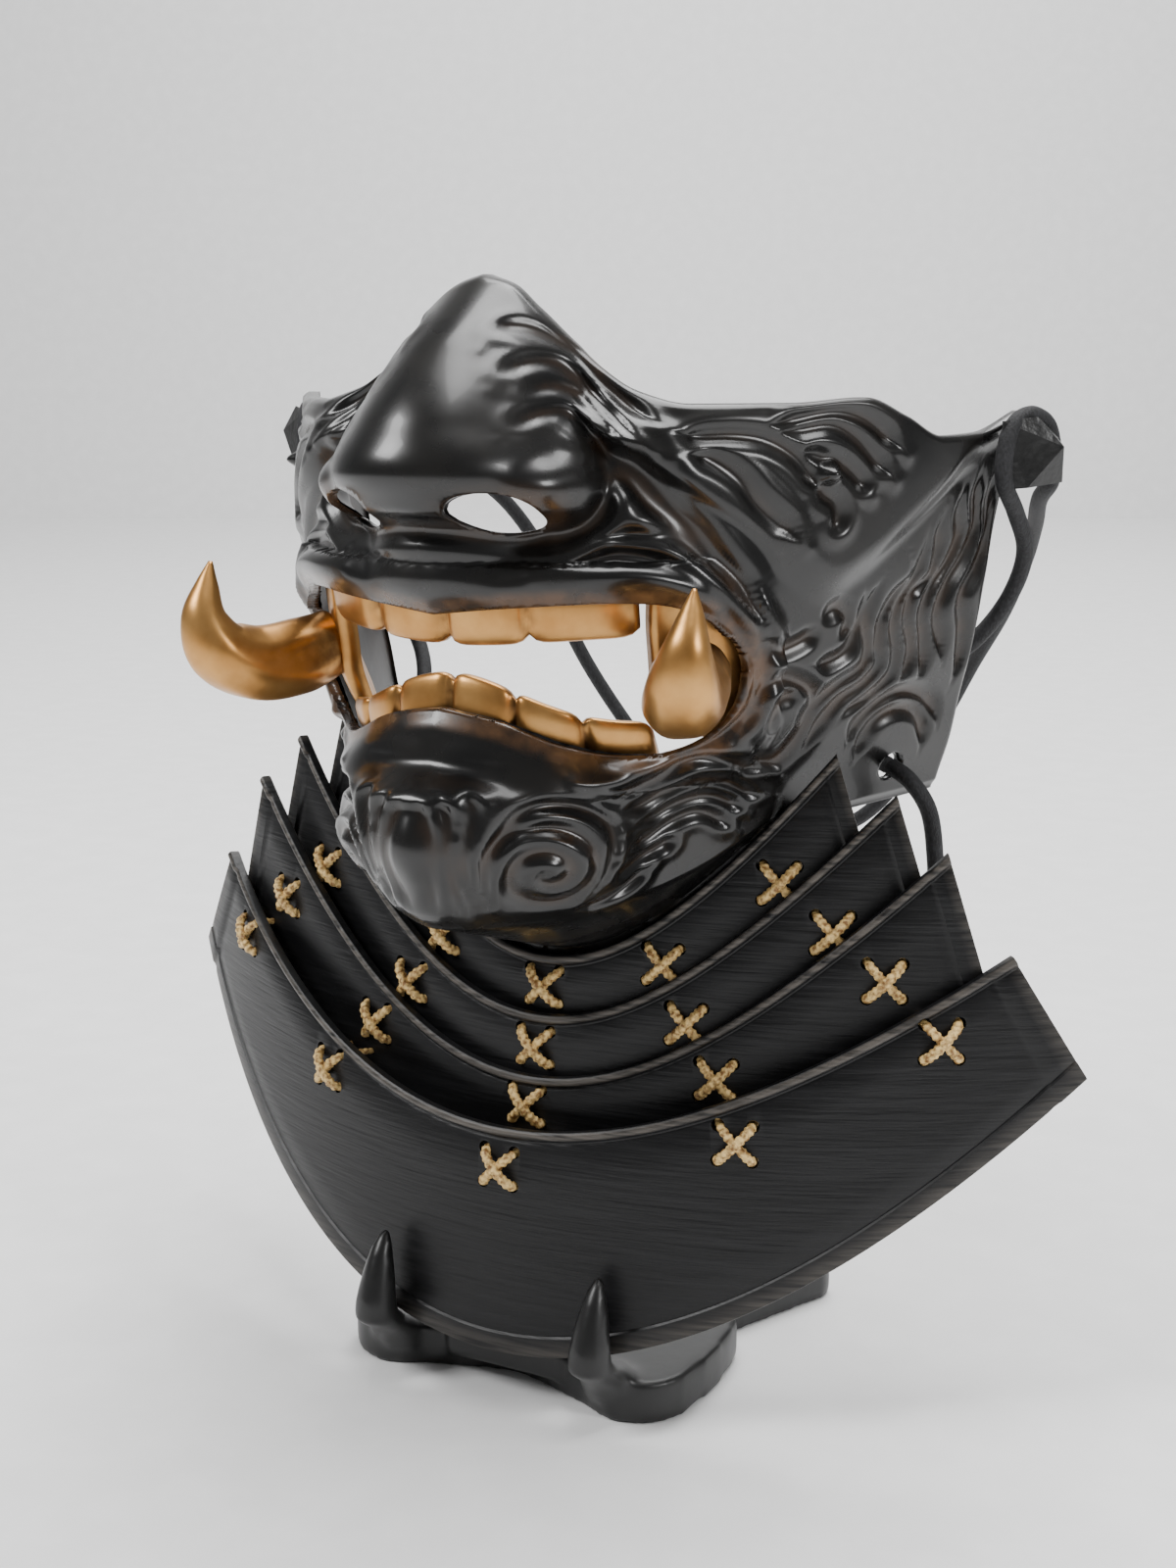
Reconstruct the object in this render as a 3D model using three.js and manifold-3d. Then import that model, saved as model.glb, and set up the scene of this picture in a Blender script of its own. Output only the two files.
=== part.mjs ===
// A samurai half mask with a four-lame throat guard, standing on its two-pronged stand.
// Millimetres, +Z up. The mask faces -Y and +X is the viewer's right.
// The origin is the centre of the stand's foot, on the surface that it stands on.
import * as THREE from "three";
import { mergeVertices } from "three/addons/utils/BufferGeometryUtils.js";
import { ConvexGeometry } from "three/addons/geometries/ConvexGeometry.js";
import Module from "manifold-3d";

const wasm = await Module();
wasm.setup();

// ---------------------------------------------------------------- driving dimensions

const GAP = 0.35; // clearance that neighbouring pieces keep
const FACE_WALL = 2.6;
const REAR_Y = 41; // the rear edge of the side panels
const REFERENCE = { front: -58, half: 86, power: 2.4 }; // the section that "around" is measured on

// Horizontal sections of the mask without its features: y at the midline, half width at the
// rear edge, and the power of the curve between them.
const SECTIONS = [
  { z: 112, front: -56, half: 71, power: 1.45 },
  { z: 128, front: -60, half: 73.5, power: 1.45 },
  { z: 140, front: -61, half: 76.5, power: 1.5 },
  { z: 150, front: -60, half: 79.5, power: 1.8 },
  { z: 160, front: -58.3, half: 81.5, power: 2.15 },
  { z: 171, front: -58, half: 84, power: 2.4 },
  { z: 190, front: -60.5, half: 87, power: 2.4 },
  { z: 204, front: -57, half: 89, power: 2.4 },
  { z: 223, front: -48, half: 91.7, power: 2.4 },
  { z: 238, front: -39, half: 93, power: 2.4 },
  { z: 256, front: -28, half: 94.5, power: 2.4 },
];
// The profile on the midline: nose, lips and chin, with the half width of each bulge.
const MIDLINE = [
  { z: 112, y: -57, half: 36 },
  { z: 117.5, y: -61, half: 40 },
  { z: 122.8, y: -66.8, half: 46 },
  { z: 137.1, y: -73.8, half: 50 },
  { z: 147.1, y: -71.7, half: 46 },
  { z: 154.7, y: -61.9, half: 32 },
  { z: 160, y: -58.4, half: 20 },
  { z: 172, y: -58, half: 14 },
  { z: 186, y: -60, half: 14 },
  { z: 195, y: -64.6, half: 16 },
  { z: 203, y: -66.2, half: 24 },
  { z: 207.6, y: -73.3, half: 30 },
  { z: 214.6, y: -77.7, half: 31 },
  { z: 225, y: -72.8, half: 26 },
  { z: 239.3, y: -59.6, half: 20 },
  { z: 254.6, y: -39.1, half: 14 },
];
// The mask's upper and lower edges: height against side distance.
const TOP_EDGE = [
  { x: 0, z: 254.6 },
  { x: 6, z: 252.5 },
  { x: 12, z: 247.5 },
  { x: 19, z: 241 },
  { x: 27, z: 235 },
  { x: 35, z: 230.5 },
  { x: 44, z: 228 },
  { x: 60, z: 228 },
  { x: 70, z: 229 },
  { x: 76, z: 225 },
  { x: 81, z: 220.5 },
  { x: 86, z: 221 },
  { x: 93, z: 225.5 },
];
const BOTTOM_EDGE = [
  { x: 0, z: 117.5 },
  { x: 22, z: 118 },
  { x: 34, z: 122.5 },
  { x: 42, z: 127 },
  { x: 49, z: 133 },
  { x: 52, z: 135.4 },
  { x: 62, z: 137 },
  { x: 77, z: 139.5 },
];
// The lower border of the cheek pad: the fold beside the mouth, its tip, then the hairline.
const CHEEK_FOLD = [
  { x: 20, z: 230 },
  { x: 27, z: 223 },
  { x: 37, z: 215.5 },
  { x: 50, z: 206 },
  { x: 57, z: 198.5 },
  { x: 61, z: 190 },
  { x: 65.5, z: 184 },
  { x: 70, z: 188 },
  { x: 75, z: 195 },
  { x: 80, z: 203 },
  { x: 84, z: 210 },
  { x: 93, z: 219 },
];
// Half of the mouth's opening, from the upper lip's middle to the lower lip's.
const MOUTH = [
  { x: 0, z: 185 },
  { x: 12, z: 186.5 },
  { x: 24, z: 187.5 },
  { x: 36, z: 188 },
  { x: 45, z: 187 },
  { x: 51, z: 183.5 },
  { x: 54.5, z: 178 },
  { x: 55.5, z: 171 },
  { x: 53.5, z: 164 },
  { x: 48, z: 157.5 },
  { x: 41, z: 154.5 },
  { x: 33, z: 155 },
  { x: 24, z: 158 },
  { x: 14, z: 162.5 },
  { x: 0, z: 165 },
];
const CHEEK_RISE = 3.2;
const LIP = { rise: 3, from_edge: 5, half: 7 };
const WING = { around: 24.5, z: 211, across: 10, tall: 9, rise: 5 }; // the side of the nose
const NOSTRIL = { x: 17, z: 206.6, across: 8.3, tall: 4.4 };
const CHIN_LOBE = { around: 27, z: 132, radius: 15, rise: 5 };
const CORD_HOLE = { share: 0.9, z: 144.6, radius: 3.4 }; // in the side panel, for the head strap

// Throat guard. y = front_y + curve x^2 + lean (z - mid_z) is a lame's outer face; its top and
// bottom edges rise from the middle as rise (sqrt(x^2 + round^2) - round).
const LAME_WALL = 1.8;
const LAMES = [
  {
    front_y: -14, curve: 0.003, lean: 0.05, mid_z: 92.2,
    top: 99.7, top_rise: 1.7, top_round: 57, top_x: 65.8,
    bottom: 70, bottom_rise: 1.15, bottom_round: 95, bottom_x: 80,
    cross_x: [0, 29.5, 54.9], cross_curve: 0.0096,
  },
  {
    front_y: -18.45, curve: 0.00288, lean: 0.05, mid_z: 78.6,
    top: 86.5, top_rise: 1.5, top_round: 66.5, top_x: 79.8,
    bottom: 57, bottom_rise: 1.1, bottom_round: 110, bottom_x: 94,
    cross_x: [0, 37, 68], cross_curve: 0.00705,
  },
  {
    front_y: -22.75, curve: 0.00265, lean: 0.05, mid_z: 65.5,
    top: 72.7, top_rise: 1.45, top_round: 85.5, top_x: 92,
    bottom: 43, bottom_rise: 1.05, bottom_round: 125, bottom_x: 106,
    cross_x: [0, 45.8, 80.6], cross_curve: 0.0056,
  },
  {
    front_y: -35.9, curve: 0.00326, lean: 0.114, mid_z: 54.7,
    top: 64.1, top_rise: 1.25, top_round: 141, top_x: 106.1,
    bottom: 11.3, bottom_rise: 3.8, bottom_round: 400, bottom_x: 121.7,
    cross_x: [0, 54.4, 94], cross_curve: 0.00398,
  },
];
const LAME_COLUMNS = 10;
// The rolled rim along a lame's top edge: distance down from the edge, and how far it stands out.
const RIM = [
  { down: 0, out: 0.2 },
  { down: 0.6, out: 0.9 },
  { down: 1.6, out: 0.9 },
  { down: 2.5, out: -0.25 },
  { down: 3.3, out: 0 },
];
const CROSS = { side: 3.9, up: 4, radius: 0.92, tie_radius: 0.55, hole: 1.95, low: 0.95, high: 2.5 };
const SLOT = { wide: 10.8, tall: 3.2, deep: 7, front: 1.6 };

// The apron behind the first lame, which the mask's chin plate turns down into.
const APRON_TO_LAME = 1.6;

// Tooth boundaries from the midline outwards, and the heights of the gum and of the biting edge
// on the midline and at the row's end.
const UPPER_TEETH = { edges: [0, 19.5, 41], gum: [191, 191], bite: [178, 180], deep: 5, round: 2.2 };
const LOWER_TEETH = { edges: [0, 15.5, 29.5, 41], gum: [157, 152.5], bite: [172, 161.5], deep: 5, round: 2 };
const TUSK = [
  { x: 46.5, y: -32, z: 173, radius: 7.5 },
  { x: 49.5, y: -42, z: 170.5, radius: 8.6 },
  { x: 53.5, y: -52, z: 170, radius: 8.3 },
  { x: 57, y: -59, z: 174, radius: 7.4 },
  { x: 58.8, y: -61.5, z: 181, radius: 5.2 },
  { x: 59, y: -60, z: 188, radius: 2.7 },
  { x: 58.9, y: -58.5, z: 193.2, radius: 0.5 },
];
const TUSK_ROOT = { from_x: 42.4, to_x: 57.5, top: 190, bottom: 157, deep: 5 };

const STUD = { share: 0.985, z: 216.5, neck: 2.4, seat: 1.5, head_from: 7.7 };
const STRAP_RADIUS = 2.15;
const STRAP_OUT = 5; // the strap's centre line off the side panel, round the stud's neck

const STAND = { plate: 10.2, lobe_x: 31.5, lobe_y: -25.8, lobe: 13 };
const PRONG_X = 28.5;
const PRONG = [
  { y: -32, z: 4, radius: 7.6 },
  { y: -36, z: 10, radius: 7.2 },
  { y: -38.8, z: 11.8, radius: 6.6 },
  { y: -45, z: 15.3, radius: 5.5 },
  { y: -44.9, z: 20, radius: 5.1 },
  { y: -43.6, z: 26, radius: 4.1 },
  { y: -42.2, z: 31, radius: 3 },
  { y: -40.8, z: 34.3, radius: 1.9 },
  { y: -40.4, z: 35.6, radius: 0.8 },
];

// ---------------------------------------------------------------- materials

const lacquer = new THREE.MeshStandardMaterial({ color: 0x0b0a09, roughness: 0.22, metalness: 0 });
const gold = new THREE.MeshStandardMaterial({ color: 0xb98543, roughness: 0.42, metalness: 0.6 });
const satin = new THREE.MeshStandardMaterial({ color: 0x141416, roughness: 0.5, metalness: 0 });
const lacing = new THREE.MeshStandardMaterial({ color: 0xd9b574, roughness: 0.85, metalness: 0 });
const elastic = new THREE.MeshStandardMaterial({ color: 0x0c0c0d, roughness: 0.9, metalness: 0 });

// ---------------------------------------------------------------- shared helpers

// A table's column, interpolated so that it neither overshoots nor kinks between its rows.
function along(table, column, at, by = "z") {
  const last = table.length - 1;
  if (at <= table[0][by]) return table[0][column];
  if (at >= table[last][by]) return table[last][column];
  let i = 0;
  while (table[i + 1][by] < at) i++;
  const slope = (j) =>
    (table[j + 1][column] - table[j][column]) / (table[j + 1][by] - table[j][by]);
  const tangent = (j) => {
    if (j === 0) return slope(0);
    if (j === last) return slope(last - 1);
    const before = slope(j - 1);
    const after = slope(j);
    return before * after <= 0 ? 0 : (2 * before * after) / (before + after);
  };
  const width = table[i + 1][by] - table[i][by];
  const t = (at - table[i][by]) / width;
  return (
    (1 + 2 * t) * (1 - t) ** 2 * table[i][column] +
    t * (1 - t) ** 2 * width * tangent(i) +
    t * t * (3 - 2 * t) * table[i + 1][column] +
    t * t * (t - 1) * width * tangent(i + 1)
  );
}

const lerp = THREE.MathUtils.lerp;
const bell = (t) => Math.max(0, 1 - t * t) ** 2;
const smooth = (t) => THREE.MathUtils.smoothstep(t, 0, 1);
const vector = (x, y, z) => new THREE.Vector3(x, y, z);

function geometryFrom(points, faces) {
  const positions = points.flatMap((p) => [p.x, p.y, p.z]);
  return new THREE.BufferGeometry()
    .setAttribute("position", new THREE.Float32BufferAttribute(positions, 3))
    .setIndex(faces.flat());
}

// A closed body through rings of points; each ring runs anticlockwise seen from the last ring.
function loft(rings, closed = false) {
  const count = rings[0].length;
  const points = rings.flat();
  const faces = [];
  const spans = closed ? rings.length : rings.length - 1;
  for (let r = 0; r < spans; r++) {
    const low = r * count;
    const high = ((r + 1) % rings.length) * count;
    for (let i = 0; i < count; i++) {
      const next = (i + 1) % count;
      faces.push([low + i, low + next, high + next], [low + i, high + next, high + i]);
    }
  }
  if (!closed) {
    const end = (rings.length - 1) * count;
    for (const [a, b, c] of THREE.ShapeUtils.triangulateShape(flatten(rings[0]), []))
      faces.push([c, b, a]);
    for (const [a, b, c] of THREE.ShapeUtils.triangulateShape(flatten(rings.at(-1)), []))
      faces.push([end + a, end + b, end + c]);
  }
  return geometryFrom(points, faces);
}

// A ring of points in its own plane, anticlockwise about the ring's area vector.
function flatten(ring) {
  const area = vector(0, 0, 0);
  ring.forEach((p, i) => area.add(p.clone().cross(ring[(i + 1) % ring.length])));
  area.normalize();
  const across = ring[1].clone().sub(ring[0]).normalize();
  const up = area.clone().cross(across);
  return ring.map((p) => new THREE.Vector2(p.dot(across), p.dot(up)));
}

// A closed body from two grids of the same size, [row][column], one on each side of a wall.
function wall(outside, inside) {
  const rows = outside.length;
  const columns = outside[0].length;
  const points = [...outside.flat(), ...inside.flat()];
  const faces = [];
  const quad = (a, b, c, d) => faces.push([a, b, c], [a, c, d]);
  const out = (r, c) => r * columns + c;
  const inn = (r, c) => rows * columns + out(r, c);
  for (let r = 0; r < rows - 1; r++)
    for (let c = 0; c < columns - 1; c++) {
      quad(out(r, c), out(r, c + 1), out(r + 1, c + 1), out(r + 1, c));
      quad(inn(r, c), inn(r + 1, c), inn(r + 1, c + 1), inn(r, c + 1));
    }
  for (let c = 0; c < columns - 1; c++) {
    quad(out(0, c), inn(0, c), inn(0, c + 1), out(0, c + 1));
    quad(out(rows - 1, c + 1), inn(rows - 1, c + 1), inn(rows - 1, c), out(rows - 1, c));
  }
  for (let r = 0; r < rows - 1; r++) {
    quad(out(r, 0), out(r + 1, 0), inn(r + 1, 0), inn(r, 0));
    const c = columns - 1;
    quad(out(r, c), inn(r, c), inn(r + 1, c), out(r + 1, c));
  }
  return geometryFrom(points, faces);
}

function solidOf(geometry) {
  const plain = geometry.clone();
  plain.deleteAttribute("normal");
  plain.deleteAttribute("uv");
  const merged = mergeVertices(plain, 1e-4);
  return new wasm.Manifold(
    new wasm.Mesh({
      numProp: 3,
      vertProperties: new Float32Array(merged.attributes.position.array),
      triVerts: new Uint32Array(merged.index.array),
    }),
  );
}

function geometryOf(solid) {
  const mesh = solid.getMesh();
  return new THREE.BufferGeometry()
    .setAttribute("position", new THREE.BufferAttribute(mesh.vertProperties, 3))
    .setIndex(new THREE.BufferAttribute(mesh.triVerts, 1));
}

function part(name, geometry, material) {
  geometry.computeVertexNormals();
  const mesh = new THREE.Mesh(geometry, material);
  mesh.name = name;
  return mesh;
}

const mirrored = (points) => points.map((p) => vector(-p.x, p.y, p.z));

// The same body on the other side of the midline.
function mirrorGeometry(geometry) {
  const copy = geometry.index ? geometry.toNonIndexed() : geometry.clone();
  const p = copy.attributes.position;
  for (let i = 0; i < p.count; i += 3) {
    const [a, b, c] = mirrored([0, 1, 2].map((k) => vector().fromBufferAttribute(p, i + k)));
    [a, c, b].forEach((v, k) => p.setXYZ(i + k, v.x, v.y, v.z));
  }
  return copy;
}

// ---------------------------------------------------------------- the mask's form

const section = (z) => ({
  front: along(SECTIONS, "front", z),
  half: along(SECTIONS, "half", z),
  power: along(SECTIONS, "power", z),
});

// Distance round the reference section for each share of the half width, in small steps.
const AROUND = [{ share: 0, length: 0 }];
for (let i = 1, steps = 200; i <= steps; i++) {
  const { front, half, power } = REFERENCE;
  const depth = (share) => (REAR_Y - front) * share ** power;
  const step = Math.hypot(half / steps, depth(i / steps) - depth((i - 1) / steps));
  AROUND.push({ share: i / steps, length: AROUND[i - 1].length + step });
}
const HALF_AROUND = AROUND.at(-1).length;
const aroundAt = (share) => Math.sign(share) * along(AROUND, "length", Math.abs(share), "share");
const shareAt = (length) => Math.sign(length) * along(AROUND, "share", Math.abs(length), "length");

function basePoint(share, z) {
  const { front, half, power } = section(z);
  return vector(share * half, front + (REAR_Y - front) * Math.abs(share) ** power, z);
}

// The level outward direction at a share of the half width.
function baseNormal(share, z) {
  const { front, half, power } = section(z);
  const slope = (power * (REAR_Y - front) * Math.abs(share) ** (power - 1)) / half;
  return vector(Math.sign(share) * slope, -1, 0).normalize();
}

// An edge table's rows with their distance round the section in place of x.
const roundTheSection = (table) =>
  table.map(({ x, z }) => ({ around: aroundAt(x / section(z).half), z }));
const TOP = roundTheSection(TOP_EDGE);
const BOTTOM = roundTheSection(BOTTOM_EDGE);
const FOLD = roundTheSection(CHEEK_FOLD);
const MOUTH_LINE = roundTheSection(MOUTH);

// Nose, lips and chin: the bulge of the midline, fading to the sides.
function bulge(around, z) {
  const across = Math.min(1, Math.abs(around) / along(MIDLINE, "half", z));
  return (section(z).front - along(MIDLINE, "y", z)) * (1 - across ** 2.2) ** 1.6;
}

function cheeksAndLobes(around, z) {
  const side = Math.abs(around);
  const cheek = CHEEK_RISE * smooth((z - along(FOLD, "z", side, "around")) / 10);
  const away = smooth((side - 30) / 14);
  const wing = WING.rise * bell(Math.hypot((side - WING.around) / WING.across, (z - WING.z) / WING.tall));
  const lobe = CHIN_LOBE.rise *
    bell(Math.hypot(side - CHIN_LOBE.around, z - CHIN_LOBE.z) / CHIN_LOBE.radius);
  return cheek * away + wing + lobe;
}

function lipRing(around, z) {
  const at = new THREE.Vector2(Math.abs(around), z);
  let nearest = Infinity;
  for (let i = 1; i < MOUTH_LINE.length; i++) {
    const a = new THREE.Vector2(MOUTH_LINE[i - 1].around, MOUTH_LINE[i - 1].z);
    const b = new THREE.Vector2(MOUTH_LINE[i].around, MOUTH_LINE[i].z);
    const run = b.clone().sub(a);
    const t = THREE.MathUtils.clamp(at.clone().sub(a).dot(run) / run.lengthSq(), 0, 1);
    nearest = Math.min(nearest, at.distanceTo(a.addScaledVector(run, t)));
  }
  return LIP.rise * bell((nearest - LIP.from_edge) / LIP.half);
}

function outerPoint(around, z) {
  const share = shareAt(around);
  const rise = bulge(around, z) + cheeksAndLobes(around, z) + lipRing(around, z);
  return basePoint(share, z).addScaledVector(baseNormal(share, z), rise);
}

// The inner face follows the large forms only; the wall is measured square to the surface.
function innerPoint(around, z) {
  const share = shareAt(around);
  const step = 0.5;
  const down = (bulge(around, z + step) - bulge(around, z - step)) / (2 * step);
  const round = (bulge(around + step, z) - bulge(around - step, z)) / (2 * step);
  const slant = Math.min(1.7, Math.hypot(1, down, round));
  const rise = bulge(around, z) + 0.85 * cheeksAndLobes(around, z) - FACE_WALL * slant;
  return basePoint(share, z).addScaledVector(baseNormal(share, z), rise);
}

// ---------------------------------------------------------------- lames

const lameY = (lame, x, z) => lame.front_y + lame.curve * x * x + lame.lean * (z - lame.mid_z);
const edgeZ = (lame, edge, x) => {
  const round = lame[edge + "_round"];
  return lame[edge] + lame[edge + "_rise"] * (Math.hypot(x, round) - round);
};

function lameFrame(lame, x, z) {
  const out = vector(2 * lame.curve * x, -1, lame.lean).normalize();
  const side = vector(1, 2 * lame.curve * x, 0).normalize();
  const up = side.clone().cross(out).negate();
  if (up.z < 0) up.negate();
  return { at: vector(x, lameY(lame, x, z), z), out, side, up };
}

// A point of a lame: share -1..1 from its left end to its right, down mm below the top edge.
function lamePoint(lame, share, down, out) {
  const top = vector(share * lame.top_x, 0, edgeZ(lame, "top", share * lame.top_x));
  const low = vector(share * lame.bottom_x, 0, edgeZ(lame, "bottom", share * lame.bottom_x));
  const tall = top.distanceTo(low);
  const at = top.lerp(low, Math.min(1, down / tall));
  const frame = lameFrame(lame, at.x, at.z);
  return frame.at.addScaledVector(frame.out, out);
}

function lameRing(lame, share) {
  const HALF_DOWN = 20;
  const outer = [...RIM, { down: HALF_DOWN, out: 0 }, { down: 200, out: 0 }];
  const inner = [200, HALF_DOWN, 0].map((down) => ({ down, out: -LAME_WALL }));
  return [...outer, ...inner].map(({ down, out }) => lamePoint(lame, share, down, out));
}

// Where the lacing crosses a lame: five crosses, on a line that curves up to the sides.
function crossFrames(lame) {
  const right = lame.cross_x.slice(1);
  return [...right.map((x) => -x).reverse(), ...lame.cross_x].map((x) =>
    lameFrame(lame, x, lame.mid_z + lame.cross_curve * x * x),
  );
}

const placed = (frame, side, up, out) =>
  frame.at
    .clone()
    .addScaledVector(frame.side, side)
    .addScaledVector(frame.up, up)
    .addScaledVector(frame.out, out);

function orient(geometry, frame, side, up, out) {
  const turn = new THREE.Matrix4().makeBasis(frame.side, frame.out, frame.side.clone().cross(frame.out));
  turn.setPosition(placed(frame, side, up, out));
  return solidOf(geometry.applyMatrix4(turn));
}

const CORNERS = [[-1, -1], [1, 1], [1, -1], [-1, 1]];

// The four small holes of each cross, cut square to the lame's face.
function holeCutters(lame) {
  const DEEP = 8;
  return crossFrames(lame).flatMap((frame) =>
    CORNERS.map(([side, up]) =>
      orient(new THREE.CylinderGeometry(CROSS.hole, CROSS.hole, DEEP, 4).rotateY(Math.PI / 4),
        frame, side * CROSS.side, up * CROSS.up, 0),
    ),
  );
}

// Depth behind a lame's face, along the frame, at which the plate behind it has its outer face.
function plateBehind(k, frame, side, up) {
  const at = placed(frame, side, up, 0);
  const behind = (depth) => {
    const p = at.clone().addScaledVector(frame.out, -depth);
    const y = k > 0 ? lameY(LAMES[k - 1], p.x, p.z) : lameY(LAMES[0], p.x, p.z) + LAME_WALL + APRON_TO_LAME;
    return y - p.y;
  };
  const trial = 5;
  return (behind(0) * trial) / (behind(0) - behind(trial));
}

// Where a corner of a cross is tied: just behind the plate that the lame hangs from.
function tieDepth(k, frame, side, up) {
  const plate = k > 0 ? LAME_WALL : FACE_WALL;
  return plateBehind(k, frame, side, up) + plate + 3 * GAP + CROSS.tie_radius;
}

// The level slot that each cross's cord passes through, in the plate behind lame k: the cord
// hooks down behind the slot's lower edge.
function slotCutters(k) {
  return crossFrames(LAMES[k]).map((frame) => {
    const depth = plateBehind(k, frame, 0, CROSS.up);
    return orient(new THREE.BoxGeometry(SLOT.wide, SLOT.deep, SLOT.tall),
      frame, 0, CROSS.up, -depth - SLOT.deep / 2 + SLOT.front);
  });
}

function cut(solid, cutters) {
  const all = cutters.reduce((together, tool) => together.add(tool));
  return solid.subtract(all);
}

function lameSolid(k) {
  const lame = LAMES[k];
  const rings = [];
  for (let i = 0; i <= LAME_COLUMNS; i++) rings.push(lameRing(lame, (2 * i) / LAME_COLUMNS - 1));
  const plate = solidOf(loft(rings));
  const cutters = holeCutters(lame);
  if (k + 1 < LAMES.length) cutters.push(...slotCutters(k + 1));
  return cut(plate, cutters);
}

// A square tube through points with a radius each; reference is never along the path.
function squareTube(path, reference) {
  const SIDES = 4;
  const last = path.length - 1;
  const rings = path.map(({ at, radius }, i) => {
    const before = at.clone().sub(path[Math.max(i - 1, 0)].at).normalize();
    const after = path[Math.min(i + 1, last)].at.clone().sub(at).normalize();
    const run = before.clone().add(after).normalize();
    const bend = after.clone().sub(before);
    const open = i === 0 || i === last;
    const stretch = open ? 0 : 1 / Math.max(0.5, run.dot(after)) - 1;
    bend.normalize();
    const first = reference.clone().addScaledVector(run, -reference.dot(run)).normalize();
    const second = run.clone().cross(first);
    const ring = [];
    for (let s = 0; s < SIDES; s++) {
      const angle = (2 * Math.PI * (s + 0.5)) / SIDES;
      const arm = first.clone().multiplyScalar(radius * Math.cos(angle));
      arm.addScaledVector(second, radius * Math.sin(angle));
      arm.addScaledVector(bend, arm.dot(bend) * stretch);
      ring.push(at.clone().add(arm));
    }
    return ring;
  });
  return loft(rings);
}

// One cross of lacing. The cord comes out of one lower hole of lame k, crosses to the upper hole
// on the other side, passes through both plates, hooks down behind the next plate, and comes back
// the same way over the first strand. Its ends stop behind the lame.
function cross(k, frame) {
  const { up, radius, tie_radius, low, high } = CROSS;
  const side = frame.at.x > 0 ? -CROSS.side : CROSS.side;
  const front = (s, u, out) => ({ at: placed(frame, s * side, u * up, out), radius });
  const tie = (s, u) => {
    const depth = tieDepth(k, frame, s * side, u * up);
    return { at: placed(frame, s * side, u * up, -depth), radius: tie_radius };
  };
  const HOOK = 0.15;
  const path = [
    front(-1, -1, -LAME_WALL - 0.9), front(-1, -1, low), front(1, 1, low), tie(1, 1), tie(1, HOOK),
    tie(-1, HOOK), tie(-1, 1), front(-1, 1, low), front(0, 0, high), front(1, -1, low),
    front(1, -1, -LAME_WALL - 0.9),
  ];
  return squareTube(path, frame.side.clone().addScaledVector(frame.up, 0.37).normalize());
}

// ---------------------------------------------------------------- face shell

// Heights of the grid's rows on the midline, closer together at the lips and under the nose.
const ROW_HEIGHTS = [
  117.5, 125, 133, 140, 147, 154, 159, 165, 172, 180, 186, 191, 197, 203, 209, 215, 223, 232, 243, 254.6,
];
const COLUMN_AROUND = [0, 5, 10, 15, 20, 25, 30.5, 38, 47, 57, 67, 76, 89, 107, HALF_AROUND];

const bottomEdge = (x) => along(BOTTOM_EDGE, "z", Math.abs(x), "x");

// The apron hangs behind the top lame; below 0..1 runs from its upper edge to its lower one.
function apronPoint(x, below, inner) {
  const [first] = LAMES;
  const top = Math.min(edgeZ(first, "top", x), bottomEdge(x)) - 2.4;
  const low = first.mid_z + first.cross_curve * x * x - 8;
  const z = lerp(top, Math.min(low, top - 4), below);
  const behind = LAME_WALL + APRON_TO_LAME + (inner ? FACE_WALL : 0);
  return vector(x, lameY(first, x, z) + behind, z);
}

// The floor under the chin passes over the top lame's rim before it turns down into the apron.
function crestPoint(x, inner) {
  const rim = edgeZ(LAMES[0], "top", x);
  const behind = LAME_WALL + (inner ? 2.6 : 0.7);
  const z = Math.min(rim + 1.4, bottomEdge(x)) + (inner ? 2.4 : 0);
  return vector(x, lameY(LAMES[0], x, rim) + behind, z);
}

// One column of the shell, from the apron's lower edge up to the mask's top edge. At the sides
// the apron and the floor turn into a plain rim under the side panel.
function shellColumn(around, inner) {
  const low = along(BOTTOM, "z", Math.abs(around), "around");
  const high = along(TOP, "z", Math.abs(around), "around");
  const first = ROW_HEIGHTS[0];
  const tall = ROW_HEIGHTS.at(-1) - first;
  const pick = inner ? innerPoint : outerPoint;
  const face = ROW_HEIGHTS.map((h, i) => {
    const raised = inner && i === 0 ? 2.4 : 0;
    return pick(around, low + raised + ((high - low) * (h - first)) / tall);
  });
  const edge = face[0];
  const near = 1 - smooth((Math.abs(edge.x) - 58.5) / 5);
  const rim = (drop, depth) => {
    const p = edge.clone().addScaledVector(baseNormal(shareAt(around), low), inner ? 0 : -depth);
    p.z -= inner ? 0.4 * drop : drop;
    return p;
  };
  const floorPoint = (t) => {
    const p = edge.clone().lerp(crestPoint(edge.x, inner), t);
    p.z = lerp(edge.z, p.z, t);
    return p;
  };
  return [
    rim(2.4, 1.6).lerp(apronPoint(edge.x, 1, inner), near),
    rim(1.8, 1.4).lerp(apronPoint(edge.x, 0, inner), near),
    rim(1.2, 1).lerp(crestPoint(edge.x, inner), near),
    rim(0.6, 0.5).lerp(floorPoint(0.5), near),
    ...face,
  ];
}

function shellGrid(inner) {
  const columns = [...COLUMN_AROUND.slice(1).map((a) => -a).reverse(), ...COLUMN_AROUND];
  const lines = columns.map((around) => shellColumn(around, inner));
  return lines[0].map((_, row) => lines.map((line) => line[row]));
}

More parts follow.
